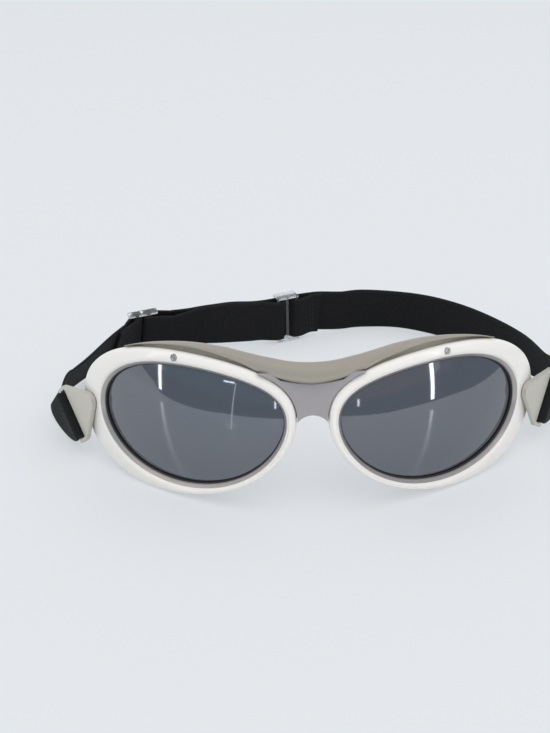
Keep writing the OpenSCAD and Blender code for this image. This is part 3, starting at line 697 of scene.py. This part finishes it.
def browRow(base, up, normal, groove, share):
    h, d, b = brow["height"], brow["depth"], brow["bulge"]
    face = smoothLine([
        (0, -brow["lip"] - brow["round"]), (0.01 * h, -brow["lip"] + brow["round"]),
        (h * 0.12, b * 0.6), (h * 0.4, b), (h * 0.7, b * 0.7), (h * 0.92, -0.8), (h, -3),
        (h * 0.97, -5.6), (h * 0.9, -d),
    ], brow["sectionSteps"])
    section = [(brow["gap"] * share, -d), (brow["gap"] * share, -brow["grooveDepth"]),
               (groove, -brow["grooveDepth"])]
    section += [(groove + w * share, n) for w, n in face]
    return [base + up * w + normal * n for w, n in section]


def browUp(a):
    return unit(spot(a, 0.1, 1, 0) - spot(a, 0, 1, 0))


def makeBrow():
    keys = []
    for a, groove, share in browRim:
        base = spot(a, 0, 1, 0)
        keys.append(browRow(base, browUp(a), wrapNormal(base[0], base[2]), groove, share))
    lean = browUp(browRim[-1][0])
    for x, rise, forward, turn, groove, share in browNose:
        z = brow["midHeight"] + rise
        normal = wrapNormal(np.array(float(x)), np.array(z))
        up = np.cross(normal, unit(np.cross([0, 0, 1], normal)))
        flat = lean - normal * (lean @ normal)
        keys.append(browRow(onWrap(x, z, brow["step"] * forward),
                            unit(flat + (up - flat) * turn), normal, groove, share))
    half = np.array(keys)
    whole = smoothLine(np.concatenate([half, half[-2::-1] * [-1, 1, 1]]), brow["steps"])
    faces = tubeFaces(len(whole), whole.shape[1])
    piece = solidPiece("pearl_brow_bar", placed(whole), faces, "pearlLacquer")
    finishPiece(piece, "frame", "brow_bar", "brow_bar")


makeBrow()
print("brow bar made")

# the frame behind the lenses: the part's own solid, welded, with its level facets joined
frameClean = {"weld": 0.002, "levelAngle": 0.4}


def makeFrame():
    edit = bmesh.new()
    edit.from_mesh(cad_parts["frame_front"].data)
    bmesh.ops.remove_doubles(edit, verts=edit.verts, dist=frameClean["weld"] * mm)
    bmesh.ops.dissolve_limit(edit, angle_limit=math.radians(frameClean["levelAngle"]),
                             verts=edit.verts, edges=edit.edges)
    mesh = bpy.data.meshes.new("frame")
    edit.to_mesh(mesh)
    edit.free()
    piece = newPiece("lens_frame", mesh, materials["mauveLacquer"])
    finishPiece(piece, "frame", "frame", "frame_front")


makeFrame()
print("lens frame made")

# strap loops: tapered plate with eased edges, a slot and a round strap bar, on a pivot post
loop = {
    "thickness": 1.9, "noseRadius": 3.4, "noseSteps": 28, "slotAt": 12.2, "slotWidth": 2.6,
    "barRadius": 1.2, "arm": 1.5, "postRadius": 2.0, "postDepth": 5.0, "ease": 0.28,
    "easeSteps": 3, "gap": 0.15, "slotSlack": 0.2, "screwRadius": 0.85, "barInset": 0.25,
    "postSink": 0.4, "holeTop": -1,
}
webWidth, webThickness = 18.5, 1.2
loopBack = loop["noseRadius"] * math.sin(math.radians(pivot["flare"])) + loop["gap"]
barAt = loop["slotAt"] + loop["slotWidth"] + loop["barRadius"]
barDepth = loopBack + loop["thickness"] / 2
slotHalf = webWidth / 2 + loop["slotSlack"]


def loopPoint(v, side):  # in the right side's millimetres; placed() mirrors it for the left
    return pivotPoint + loopDirection(v, side)


def makeLoop(name, side):
    half, at = slotHalf + loop["arm"], loop["slotAt"]
    touch = math.atan2(half, at) + math.acos(loop["noseRadius"] / math.hypot(at, half))
    flat = [(loop["noseRadius"] * math.cos(a), loop["noseRadius"] * math.sin(a))
            for a in np.linspace(touch, 2 * math.pi - touch, loop["noseSteps"])]
    flat += [(at, -half), (barAt, -half), (barAt, -slotHalf), (at, -slotHalf), (at, slotHalf),
             (barAt, slotHalf), (barAt, half), (at, half)]
    levels = (loopBack, loopBack + loop["thickness"])
    points = [loopPoint((x, -n, z), side) for n in levels for x, z in flat]
    piece = solidPiece(name + "_swivel_loop", placed(points, side, floorShift),
                       tubeFaces(2, len(flat)), "loopSatin")
    easeEdges(piece, loop["ease"], loop["easeSteps"])
    bar, along = loopPoint((barAt, -barDepth, 0), side), loopDirection((0, 0, 1), side)
    end, postEnd = half - loop["barInset"], loopBack + loop["postSink"]
    cutWith(piece, barOn(side, bar, along, loop["barRadius"], -end, end), "UNION")
    cutWith(piece, barOn(side, pivotPoint, pivotAxis, loop["postRadius"], -loop["postDepth"],
                         postEnd), "UNION")
    cutWith(piece, barOn(side, pivotPoint, pivotAxis, loop["screwRadius"],
                         -loop["postDepth"] - 1, loop["holeTop"]))
    finishPiece(piece, name + "_loop", "loop", name + "_strap_loop")


for name, side in sides.items():
    makeLoop(name, side)
print("strap loops made")

# webbing routes, lower and upper edge, given and shared with the part
leftRoute = [
    [[-95, 60, 5.4], [-92, 69.5, 20.5]], [[-99, 68, 4.4], [-91.5, 77, 19.5]],
    [[-101, 80, 3], [-90, 85, 18]], [[-98, 95, 1.8], [-86, 97, 17.5]],
    [[-90, 115, 1], [-80.5, 115, 17.1]], [[-81, 131.5, 1.2], [-75, 127.5, 17.6]],
]
backRoute = [
    [[-58, 146.5, 1.9], [-56, 139.5, 19]], [[-48, 145.5, 1.8], [-47, 140.5, 19.5]],
    [[-38, 143, 2.5], [-37.5, 141, 21]], [[-30, 142, 3], [-29.5, 142, 21.5]],
    [[-22, 143.5, 2.8], [-21.5, 142.5, 21.5]], [[-16, 146, 2.5], [-16, 144.5, 21]],
    [[-11.5, 148.2, 2.5], [-11.5, 146.5, 21]], [[-7, 150.2, 2.5], [-7, 148.5, 21]],
    [[-2.5, 152, 2.5], [-2.5, 150.3, 21]], [[2, 153.6, 2.4], [2, 152.1, 20.9]],
    [[8, 155.7, 1.9], [8, 154.7, 20.5]], [[18, 159, 0.4], [18, 158, 19]],
    [[28, 161.2, 0.3], [28, 160.2, 19]], [[44, 159.5, 0.4], [43.5, 157, 19]],
    [[58, 151.5, 0.5], [57.5, 150, 19]], [[71, 139.5, 0.6], [70.5, 138, 19]],
    [[83, 123.5, 0.7], [81.5, 122, 19]], [[94, 104, 1.2], [90.5, 102, 19]],
    [[100.7, 86, 2.6], [94.5, 80, 20]], [[98.5, 72, 5], [93, 73, 22]],
    [[95, 63, 6.6], [92.5, 67, 24]],
]
strap = {
    "ringMiddle": [[-71.5, 141.5, 2.1], [-68.5, 134, 20]], "ringTurn": 24.0, "slideAt": 7,
    "routeSteps": 4, "freeGap": 0.3, "seatGap": 0.05, "floorGap": 0.05, "weaveGap": 0.15,
    "ringGap": 0.12, "tailGap": 0.6, "finer": 3, "edgeRound": 0.45, "edgeSteps": 4,
    "tailStations": 12, "dipHalf": 3.2, "settle": 9.0, "joinSteps": 3, "overlap": 3,
    # stations over which the inner layer leaves the ring, and the tail lifts off past the slide
    "ringFade": 6, "tailFrom": 3, "tailFade": 7,
    # a turn round a bar: its steps, the one at which a run may start, and how early it starts
    "turnSteps": 9, "turnSplit": 4, "earlyTurn": 35,
    # an end: stations given up to it, its steps to the bar, its bend, and its steps back
    "endAt": 8, "endSteps": 15, "endBend": 0.75, "endBack": 6,
    # stations between which an end bends with its loop, and those that have stitches
    "bendFrom": 10, "bendTo": 14, "returnFrom": 6, "returnTo": 4, "endRows": (13, 11),
    "tailRows": (2, 3),
}
ringShape = {"length": 13.0, "barRadius": 1.0, "rail": 1.2, "side": 1.5, "inside": 9.55}
slideShape = {"length": 10.0, "barRadius": 0.6, "rail": 0.85, "front": 1.6, "inside": 9.9}


# a strap station is its middle, the direction of its width and its outward normal
def station(low, high, along):
    up = unit(high - low)
    normal = unit(np.cross(up, along))
    middle = low + up * webWidth / 2
    bottom = middle[2] - up[2] * webWidth / 2 - abs(normal[2]) * webThickness / 2
    return [middle + [0, 0, max(0, strap["floorGap"] - bottom)], up, normal]


def stationsOf(route):
    low = smoothLine([p[0] for p in route], strap["routeSteps"])
    high = smoothLine([p[1] for p in route], strap["routeSteps"])
    last = len(low) - 1
    made = []
    for i in range(last + 1):
        j, h = min(i + 1, last), max(i - 1, 0)
        made.append(station(low[i], high[i], low[j] + high[j] - low[h] - high[h]))
    return made


def turnRound(base, along, normal, up, radius, early=0):
    made = []
    for i in range(strap["turnSteps"] + 1):
        angle = math.radians(-90 - early + (180 + early) * i / strap["turnSteps"])
        d = normal * math.sin(angle) - along * math.cos(angle)
        made.append([base + d * radius, up, d])
    return made


def between(a, b, steps=strap["joinSteps"]):
    shares = [i / steps for i in range(1, steps)]
    return [[a[0] + (b[0] - a[0]) * s] + [unit(a[k] + (b[k] - a[k]) * s) for k in (1, 2)]
            for s in shares]


def opposite(s, gap):
    return [s[0] - s[2] * gap, s[1], -s[2]]


ringLow, ringHigh = (np.array(p, float) for p in strap["ringMiddle"])
ringO = (ringLow + ringHigh) / 2
ringU = unit(ringHigh - ringLow)
ringTurn = math.radians(strap["ringTurn"])
ringN = unit(np.cross(ringU, [math.cos(ringTurn), math.sin(ringTurn), 0]))
ringS = np.cross(ringN, ringU)
ringWrap = ringShape["barRadius"] + strap["freeGap"] + webThickness / 2
ringBarAt = ringWrap + (webThickness + strap["ringGap"]) / 2

backStations = stationsOf(backRoute)
leftStations = stationsOf(leftRoute)
slideIndex = strap["slideAt"] * strap["routeSteps"]
slideMiddle, slideU, slideN = backStations[slideIndex]
slideS = np.cross(slideN, slideU)
slideBarAt = slideShape["length"] / 2 - slideShape["barRadius"]
weave = slideShape["barRadius"] + strap["freeGap"] + webThickness / 2 + strap["weaveGap"]
layerGap = webThickness + strap["freeGap"]
slidePlane = weave + layerGap
slideO = slideMiddle - slideN * slidePlane


def layerAt(d):  # distance of the inner layer from the back one, d along from the slide
    if abs(d) < strap["dipHalf"]:
        return slidePlane - weave * math.cos(math.pi * d / strap["dipHalf"])
    far = ramp((abs(d) - slideBarAt) / strap["settle"])
    return slidePlane + weave + (layerGap - slidePlane - weave) * far


def innerStation(i):
    s = backStations[i]
    fromRing = 2 * ringWrap + (layerGap - 2 * ringWrap) * ramp(i / strap["ringFade"])
    past = (i - slideIndex - strap["tailFrom"]) / strap["tailFade"]
    lift = strap["tailGap"] * float(ramp(past))
    return opposite(s, max(layerAt((s[0] - slideMiddle) @ slideS), fromRing) + lift)


innerLayer = [innerStation(i) for i in range(slideIndex + strap["tailStations"], 0, -1)]
nearTurn = turnRound(ringO + ringS * ringBarAt, ringS, ringN, ringU, ringWrap)
farTurn = turnRound(ringO - ringS * ringBarAt, -ringS, -ringN, ringU, ringWrap,
                    strap["earlyTurn"])
loopWrap = loop["barRadius"] + strap["seatGap"] + webThickness / 2


def mirrored(s):
    return [v * [-1, 1, 1] for v in s]


def endRun(last, before, side):  # from the strap round the loop's bar and back along itself
    base = loopPoint((barAt, -barDepth, 0), side)
    s, n, u = (loopDirection(v, side) for v in ((1, 0, 0), (0, 1, 0), (0, 0, 1)))
    turn = turnRound(base, s, n, u, loopWrap, strap["earlyTurn"])
    reach = np.linalg.norm(turn[0][0] - last[0]) * strap["endBend"]
    leave, arrive = unit(last[0] - before[0]), unit(turn[1][0] - turn[0][0])
    steps = strap["endSteps"]
    lead = [last] + between(last, turn[0], steps)
    for i in range(1, steps):
        t = i / steps
        lead[i][0] = (
            (1 + 2 * t) * (1 - t) ** 2 * last[0] + t * t * (3 - 2 * t) * turn[0][0]
            + t * (1 - t) ** 2 * reach * leave - t * t * (1 - t) * reach * arrive
        )
    for i in range(1, steps):
        way = unit(lead[min(i + 1, steps - 1)][0] - lead[i - 1][0])
        lead[i][2] = unit(lead[i][2] - way * (way @ lead[i][2]))
        across = np.cross(way, lead[i][2])
        lead[i][1] = across * np.sign(across @ lead[i][1])
    back = []
    for i in range(strap["endBack"], 0, -1):
        gap = layerGap + (2 * loopWrap - layerGap) * ramp((i - 2) / (strap["endBack"] - 1))
        back.append(opposite(lead[steps - 1 - strap["endBack"] + i], gap))
    return lead + turn + back


# geometry nodes: a tree takes points or a line, sizes in metres and a material
def geometryTree(name, sizes):
    inputs = {"Geometry": "Geometry", **sizes, "Material": "Material"}
    return newGroup(name, "GeometryNodeTree", inputs, {"Geometry": "Geometry"})


def endTree(tree, start, geometry):
    whole = addNode(tree, "GeometryNodeRealizeInstances", {"Geometry": geometry})
    dressed = addNode(tree, "GeometryNodeSetMaterial", {
        "Geometry": whole["Geometry"], "Material": start["Material"],
    })
    addNode(tree, "NodeGroupOutput", {"Geometry": dressed["Geometry"]})
    return tree


def givenVector(tree, name):
    return addNode(tree, "GeometryNodeInputNamedAttribute", {"Name": name},
                   data_type="FLOAT_VECTOR")["Attribute"]


def endOnPoints(tree, start, instance):  # one on each point, Z along outward, X along across
    axes = addNode(tree, "FunctionNodeAxesToRotation", {
        "Primary Axis": givenVector(tree, "outward"), "Secondary Axis": givenVector(tree, "across"),
    }, primary_axis="Z", secondary_axis="X")
    many = addNode(tree, "GeometryNodeInstanceOnPoints", {
        "Points": start["Geometry"], "Instance": instance, "Rotation": axes["Rotation"],
    })
    return endTree(tree, start, many["Instances"])


def growPiece(name, tree, finish, points, edges=(), **values):  # values: what each point carries
    mesh = meshOf(name, points, edges)
    for label, given in values.items():
        kind, field = ("FLOAT_VECTOR", "vector") if np.ndim(given) == 2 else ("FLOAT", "value")
        mesh.attributes.new(label, kind, "POINT").data.foreach_set(field, np.ravel(given))
    piece = newPiece(name, mesh)
    grow = piece.modifiers.new(tree.name, "NODES")
    grow.node_group = tree
    socket = next(s for s in tree.interface.items_tree if s.name == "Material")
    grow[socket.identifier] = materials[finish]
    applyModifiers(piece)
    return piece


def webbingTree():
    tree, start = geometryTree("webbing", {
        "Width": webWidth * mm, "Thickness": webThickness * mm,
        "Edge Radius": strap["edgeRound"] * mm,
    })
    line = addNode(tree, "GeometryNodeMeshToCurve", {"Mesh": start["Geometry"]})
    spine = addNode(tree, "GeometryNodeSetCurveNormal", {
        "Curve": line["Curve"], "Normal": givenVector(tree, "outward"),
    }, mode="FREE")
    section = addNode(tree, "GeometryNodeCurvePrimitiveQuadrilateral", {
        "Width": start["Thickness"], "Height": start["Width"],
    })
    eased = addNode(tree, "GeometryNodeFilletCurve", {
        "Curve": section["Curve"], "Radius": start["Edge Radius"], "Count": strap["edgeSteps"],
    }, mode="POLY")
    place = addNode(tree, "GeometryNodeInputPosition")["Position"]
    across = addNode(tree, "GeometryNodeStoreNamedAttribute", {
        "Geometry": eased["Curve"], "Name": "webAcross",
        "Value": addNode(tree, "ShaderNodeSeparateXYZ", {"Vector": place})["Y"],
    })
    sweep = addNode(tree, "GeometryNodeCurveToMesh", {
        "Curve": spine["Curve"], "Profile Curve": across["Geometry"], "Fill Caps": True,
    })
    return endTree(tree, start, sweep["Mesh"])


webbing = webbingTree()


# a strap's piece, and its length from where the webbing starts, which lies startAlong before it
def makeWebbing(name, run, startAlong=0.0):
    places, normals = (smoothLine([s[k] for s in run], strap["finer"]) for k in (0, 2))
    steps = np.linalg.norm(np.diff(places, axis=0), axis=1)
    along = np.concatenate([[0], np.cumsum(steps)]) * mm + startAlong
    edges = [(i, i + 1) for i in range(len(places) - 1)]
    piece = growPiece(name, webbing, "blackWebbing", placed(places, 1, floorShift), edges,
                      outward=unit(normals), webAlong=along)
    faceOutward(piece.data)
    smoothShade(piece, "webbing")
    return piece, along[-1]


endAt, split, tailEnd = strap["endAt"], strap["turnSplit"], strap["tailStations"]
leftEnd = endRun(mirrored(leftStations[endAt]), mirrored(leftStations[endAt + 1]), -1)
leftEnd = [mirrored(s) for s in leftEnd]
rightEnd = endRun(backStations[-1 - endAt], backStations[-2 - endAt], 1)
shortRun = leftEnd[:0:-1] + leftStations[endAt:] + between(leftStations[-1], farTurn[0]) + farTurn
shortRun += between(farTurn[-1], opposite(leftStations[-1], layerGap))
shortRun += [opposite(leftStations[-1 - i], layerGap) for i in range(strap["overlap"])]
longRun = nearTurn[split:] + between(nearTurn[-1], backStations[0]) + backStations[:-endAt]
longRun += rightEnd[1:]
tailRun = innerLayer[:tailEnd + 1]
returnRun = innerLayer[tailEnd:] + between(innerLayer[-1], nearTurn[0]) + nearTurn[:split + 1]

shortStrap, shortLength = makeWebbing("short_strap_webbing", shortRun)
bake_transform(shortStrap)
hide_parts("short_strap", "left_strap_end")
longStrap, longLength = makeWebbing("long_strap_webbing", longRun)
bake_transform(longStrap)
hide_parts("long_strap", "right_strap_end")
strapTail, tailLength = makeWebbing("long_strap_tail", tailRun)
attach(strapTail, "slide")
strapReturn, returnLength = makeWebbing("long_strap_return", returnRun, tailLength)
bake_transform(strapReturn)
print("webbing made")

# clear ring and slide: round bars between two eased rails, moulded as one
clearEase = {"width": 0.35, "steps": 3, "barEnd": 0.4, "barSides": 32}
boxFaces = [(0, 1, 3, 2), (4, 6, 7, 5), (0, 4, 5, 1), (2, 3, 7, 6), (0, 2, 6, 4), (1, 5, 7, 3)]


def makeLink(name, node, body, base, s, n, u, shape, bars, front, back):
    turn = np.array([s, n, u])
    half, inside = shape["length"] / 2, shape["inside"]
    rails = []
    for low in (-inside - shape["rail"], inside):
        corners = [(x, y, z) for x in (-half, half) for y in (-front, back)
                   for z in (low, low + shape["rail"])]
        rails.append(solidPiece(name, placed(np.array(corners) @ turn + base, 1, floorShift),
                                boxFaces, "clearPlastic"))
        easeEdges(rails[-1], clearEase["width"], clearEase["steps"])
    piece = rails[0]
    cutWith(piece, rails[1], "UNION")
    end = inside + clearEase["barEnd"]
    for x in bars:
        middle = placed(base + np.asarray(s) * x, 1, floorShift)
        bar = barAlong(middle, u, shape["barRadius"], -end, end, clearEase["barSides"])
        cutWith(piece, bar, "UNION")
    finishPiece(piece, body, "clear", node)


makeLink("clear_strap_ring", "strap_ring", "frame", ringO, ringS, ringN, ringU, ringShape,
         (-ringBarAt, ringBarAt), ringShape["side"], ringShape["side"])
makeLink("clear_adjuster_slide", "adjuster_slide", "slide", slideO, slideS, slideN, slideU,
         slideShape, (-slideBarAt, 0, slideBarAt), slideShape["front"], slidePlane + webThickness)
print("clear ring and slide made")

# rows of stitches across the sewn ends, one small thread bead for each stitch
stitch = {"length": 1.7, "pitch": 2.3, "thickness": 0.32, "edgeInset": 1.4, "sides": 8,
          "rings": 5}


def stitchTree():
    tree, start = geometryTree("stitches", {
        "Stitch Length": stitch["length"] * mm, "Thread": stitch["thickness"] * mm,
    })
    bead = addNode(tree, "GeometryNodeMeshUVSphere", {
        "Segments": stitch["sides"], "Rings": stitch["rings"], "Radius": 0.5,
    })
    size = addNode(tree, "ShaderNodeCombineXYZ", {
        "X": start["Stitch Length"], "Y": start["Thread"], "Z": start["Thread"],
    })
    shaped = addNode(tree, "GeometryNodeTransform", {
        "Geometry": bead["Mesh"], "Scale": size["Vector"],
    })
    return endOnPoints(tree, start, shaped["Geometry"])


stitches = stitchTree()


def makeStitches(name, rows):  # rows are stations; stitches lie on the outward side
    count = int(2 * (webWidth / 2 - stitch["edgeInset"]) / stitch["pitch"]) + 1
    offsets = (np.arange(count) - (count - 1) / 2) * stitch["pitch"]
    places = [s[0] + s[1] * d + s[2] * webThickness / 2 for s in rows for d in offsets]
    ups, normals = ([s[k] for s in rows for _ in offsets] for k in (1, 2))
    piece = growPiece(name, stitches, "blackThread", placed(places, 1, floorShift),
                      outward=normals, across=ups)
    smoothShade(piece, "stitches")
    return piece


leftStitches = makeStitches("left_end_stitches", [leftEnd[i] for i in strap["endRows"]])
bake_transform(leftStitches)
rightStitches = makeStitches("right_end_stitches", [rightEnd[i] for i in strap["endRows"]])
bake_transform(rightStitches)
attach(makeStitches("tail_stitches", [tailRun[i] for i in strap["tailRows"]]), "slide")
print("stitches made")


# slotted rim screws, both on one tree, and the hidden pivot hardware in its own metal
def screwTree():
    tree, start = geometryTree("rimScrews", {
        "Head Radius": screw["headRadius"] * mm, "Head Depth": screw["headDepth"] * mm,
        "Slot Width": screw["slotWidth"] * mm,
    })
    head = addNode(tree, "GeometryNodeMeshCylinder", {
        "Radius": start["Head Radius"], "Depth": start["Head Depth"],
    })
    size = addNode(tree, "ShaderNodeCombineXYZ", {
        "X": screw["slotLength"] * mm, "Y": start["Slot Width"], "Z": start["Head Depth"],
    })
    blade = addNode(tree, "GeometryNodeMeshCube", {"Size": size["Vector"]})
    lifted = addNode(tree, "GeometryNodeTransform", {
        "Geometry": blade["Mesh"], "Translation": (0, 0, screw["headDepth"] / 2 * mm),
    })
    slotted = addNode(tree, "GeometryNodeMeshBoolean", {
        "Mesh 1": head["Mesh"], "Mesh 2": lifted["Geometry"],
    }, operation="DIFFERENCE", solver="EXACT")
    return endOnPoints(tree, start, slotted["Mesh"])


def makeScrews():
    base = screwBase + screwNormal * (rim["crown"] - screw["headDepth"] / 2)
    places = [placed(base, side) for side in sides.values()]
    normals = [screwNormal * [side, 1, 1] for side in sides.values()]
    slots = [unit(np.cross(n, turn)) for n, turn in zip(normals, screw["slotTurns"])]
    piece = growPiece("rim_screw_heads", screwTree(), "screwSteel", places, outward=normals,
                      across=slots)
    finishPiece(piece, "frame", "screws", "left_rim_screw", "right_rim_screw")


makeScrews()
for name in sides:
    for node, finish in (("_pivot_bush", "bushBrass"), ("_pivot_screw", "screwSteel")):
        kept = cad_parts[name + node]
        kept.data.materials.clear()
        kept.data.materials.append(materials[finish])
print("screws made")

# pale floor under an even studio, lit softly from above and in front
studio = {
    "floor": (0.80, 0.825, 0.845), "floorRoughness": 0.14, "seenRoughness": 0.85,
    "floorHalf": 12.0, "floorPatches": 3, "patchShade": 0.98, "floorSeen": (0.30, 0.31, 0.318),
    "floorGlow": (0.44, 0.46, 0.48), "floorShine": 0.22, "shineReach": 0.2, "shineFade": 4.0,
    "backdrop": (0.735, 0.765, 0.785), "around": (0.86, 0.862, 0.87),
    "roomLeft": (0.42, 0.50, 0.56), "roomRight": (0.49, 0.49, 0.54),
    "wallLeft": (0.68, 0.66, 0.68), "wallRight": (0.44, 0.45, 0.51),
    "roomFrom": 0.30, "roomSoftness": 0.10, "sideBlend": 1.5,
    "lampColor": (1.0, 0.985, 0.96),
    "softboxes": [
        {"power": 11.0, "size": 1.8, "place": (0.3, -1.1, 1.7)},
        {"power": 5.5, "size": 2.4, "place": (0.2, 0.5, 2.2)},
    ],
}
# lamps and edges of the room that show in the lenses alone: azimuth from the front, to the right,
# and elevation, in degrees, as seen from eye, a point on a lens; reach is the way out to them
roomCards = {
    "lamps": [
        {"eye": (-0.050, -0.063, 0.043), "reach": 0.18, "light": (6, 6, 6),
         "corners": ((-72.2, -10), (-70.4, -10), (-70.6, 45), (-74.4, 45))},
        {"eye": (0.040, -0.067, 0.042), "reach": 0.15, "light": (7, 7, 7),
         "corners": ((57.2, -12.5), (59.4, -12.5), (60.4, 45), (57.4, 45))},
        {"eye": (-0.026, -0.0745, 0.036), "reach": 0.085, "light": (1.5, 1.5, 1.55),
         "corners": ((-36.8, -21), (-35.9, -21), (-32.6, 14), (-33.3, 14))},
        {"eye": (-0.028, -0.074, 0.045), "reach": 0.6, "light": (5, 5, 5),
         "corners": ((-38.4, 7.6), (-32.9, 8.0), (-32.9, 8.7), (-38.4, 8.3))},
        {"eye": (-0.0123, -0.078, 0.039), "reach": 0.6, "light": (4, 4, 4),
         "corners": ((-15.1, -2.6), (-14.3, -2.6), (-14.3, 2.2), (-15.1, 2.2))},
        {"eye": (0.0155, -0.077, 0.038), "reach": 0.6, "light": (4, 4, 4),
         "corners": ((22.1, -3.2), (22.9, -3.2), (22.9, 1.0), (22.1, 1.0))},
        {"eye": (0.040, -0.067, 0.042), "reach": 0.3, "light": (0.75, 0.75, 0.78),
         "corners": ((59.5, 1), (63.0, 3), (62.5, 20), (59.5, 20))},
    ],
    "floorRise": 0.0004, "floorLight": (0.42, 0.46, 0.52),
    "floorEdge": (
        (-12, -0.3), (-0.377, -0.15), (-0.248, -0.129), (-0.212, -0.145), (-0.188, -0.176),
        (-0.170, -0.204), (-0.157, -0.238), (-0.104, -0.284), (-0.062, -0.311), (0.075, -0.347),
        (0.1, -0.297), (0.141, -0.231), (0.165, -0.209), (0.187, -0.169), (0.197, -0.117),
        (0.190, -0.078), (0.195, -0.03), (0.25, 0.2), (12, 0.5), (12, -12), (-12, -12),
    ),
}


def makeStagePiece(name, corners, material):
    mesh = bpy.data.meshes.new(name)
    mesh.from_pydata(corners, [], [tuple(range(len(corners)))])
    piece = newPiece(name, mesh, material)
    return piece


def makeFloor(look):
    material, tree, shader = newMaterial("floorFinish")
    place = addNode(tree, "ShaderNodeTexCoord")["Object"]
    worn = [c * look["patchShade"] for c in look["floor"]]
    plain = mixColors(tree, noiseAt(tree, place, look["floorPatches"]), look["floor"], worn)
    rays = addNode(tree, "ShaderNodeLightPath")
    seen = calc(tree, "ADD", rays["Is Camera Ray"], rays["Is Glossy Ray"])
    seen = calc(tree, "ADD", seen, rays["Is Transmission Ray"], clamp=True)
    far = addNode(tree, "ShaderNodeVectorMath", {0: place}, operation="LENGTH")["Value"]
    far = calc(tree, "SUBTRACT", far, look["shineReach"])
    far = calc(tree, "MULTIPLY", far, look["shineFade"], clamp=True)
    rough = calc(tree, "MULTIPLY_ADD", rays["Is Camera Ray"],
                 look["seenRoughness"] - look["floorRoughness"], look["floorRoughness"])
    fill(shader, {
        "Base Color": mixColors(tree, seen, plain, look["floorSeen"]),
        "Emission Color": mixColors(tree, seen, (0, 0, 0), look["floorGlow"]),
        "Emission Strength": 1, "Roughness": calc(tree, "MAXIMUM", far, rough),
        "Specular IOR Level": look["floorShine"],
    })
    half = look["floorHalf"]
    corners = [(-half, -half, 0), (half, -half, 0), (half, half, 0), (-half, half, 0)]
    makeStagePiece("floor", corners, material)


def makeWorld(look):  # the dim room in front of the floor shows only in reflections
    world = bpy.data.worlds.new("studio")
    bpy.context.scene.world = world
    world.use_nodes = True
    tree = world.node_tree
    place = addNode(tree, "ShaderNodeTexCoord")["Generated"]
    way = addNode(tree, "ShaderNodeSeparateXYZ", {"Vector": place})
    rays = addNode(tree, "ShaderNodeLightPath")
    sideways = calc(tree, "MULTIPLY_ADD", way["X"], look["sideBlend"], 0.5, clamp=True)
    room = mixColors(tree, sideways, look["roomLeft"], look["roomRight"])
    wall = mixColors(tree, sideways, look["wallLeft"], look["wallRight"])
    front = calc(tree, "SUBTRACT", calc(tree, "MULTIPLY", way["Y"], -1.0), look["roomFrom"])
    front = calc(tree, "DIVIDE", front, look["roomSoftness"], clamp=True)
    seen = mixColors(tree, rays["Is Glossy Ray"], look["around"],
                     mixColors(tree, front, wall, room))
    seen = mixColors(tree, rays["Is Camera Ray"], seen, look["backdrop"])
    fill(tree.nodes["Background"], {"Color": seen})


def makeSoftboxes(look):
    for box in look["softboxes"]:
        lamp = bpy.data.lights.new("softbox", "AREA")
        lamp.energy, lamp.size, lamp.color = box["power"], box["size"], look["lampColor"]
        stand = bpy.data.objects.new("softbox", lamp)
        bpy.context.scene.collection.objects.link(stand)
        stand.location = box["place"]
        stand.rotation_mode = "QUATERNION"
        stand.rotation_quaternion = (-Vector(box["place"])).to_track_quat("-Z", "Y")
        stand.visible_glossy = False


def makeCard(name, corners, light):  # seen by glossy rays alone, and from its front alone
    material, tree, shader = newMaterial(name)
    behind = addNode(tree, "ShaderNodeNewGeometry")["Backfacing"]
    fill(shader, {
        "Base Color": (0, 0, 0), "Specular IOR Level": 0, "Emission Color": light,
        "Emission Strength": 1, "Alpha": calc(tree, "SUBTRACT", 1.0, behind),
    })
    card = makeStagePiece(name, corners, material)
    card.visible_camera = card.visible_diffuse = card.visible_shadow = False
    card.visible_transmission = card.visible_volume_scatter = False


def makeRoomCards(look):
    for lamp in look["lamps"]:
        corners = []
        for azimuth, elevation in reversed(lamp["corners"]):
            a, e = math.radians(azimuth), math.radians(elevation)
            way = Vector((math.sin(a), -math.cos(a), math.tan(e)))
            corners.append(tuple(Vector(lamp["eye"]) + way * lamp["reach"]))
        makeCard("lamp_card", corners, lamp["light"])
    edge = [(x, y, look["floorRise"]) for x, y in reversed(look["floorEdge"])]
    makeCard("floor_edge_card", edge, look["floorLight"])


makeFloor(studio)
makeWorld(studio)
makeSoftboxes(studio)
makeRoomCards(roomCards)
bpy.context.scene.view_settings.view_transform = "Standard"
print("stage made")
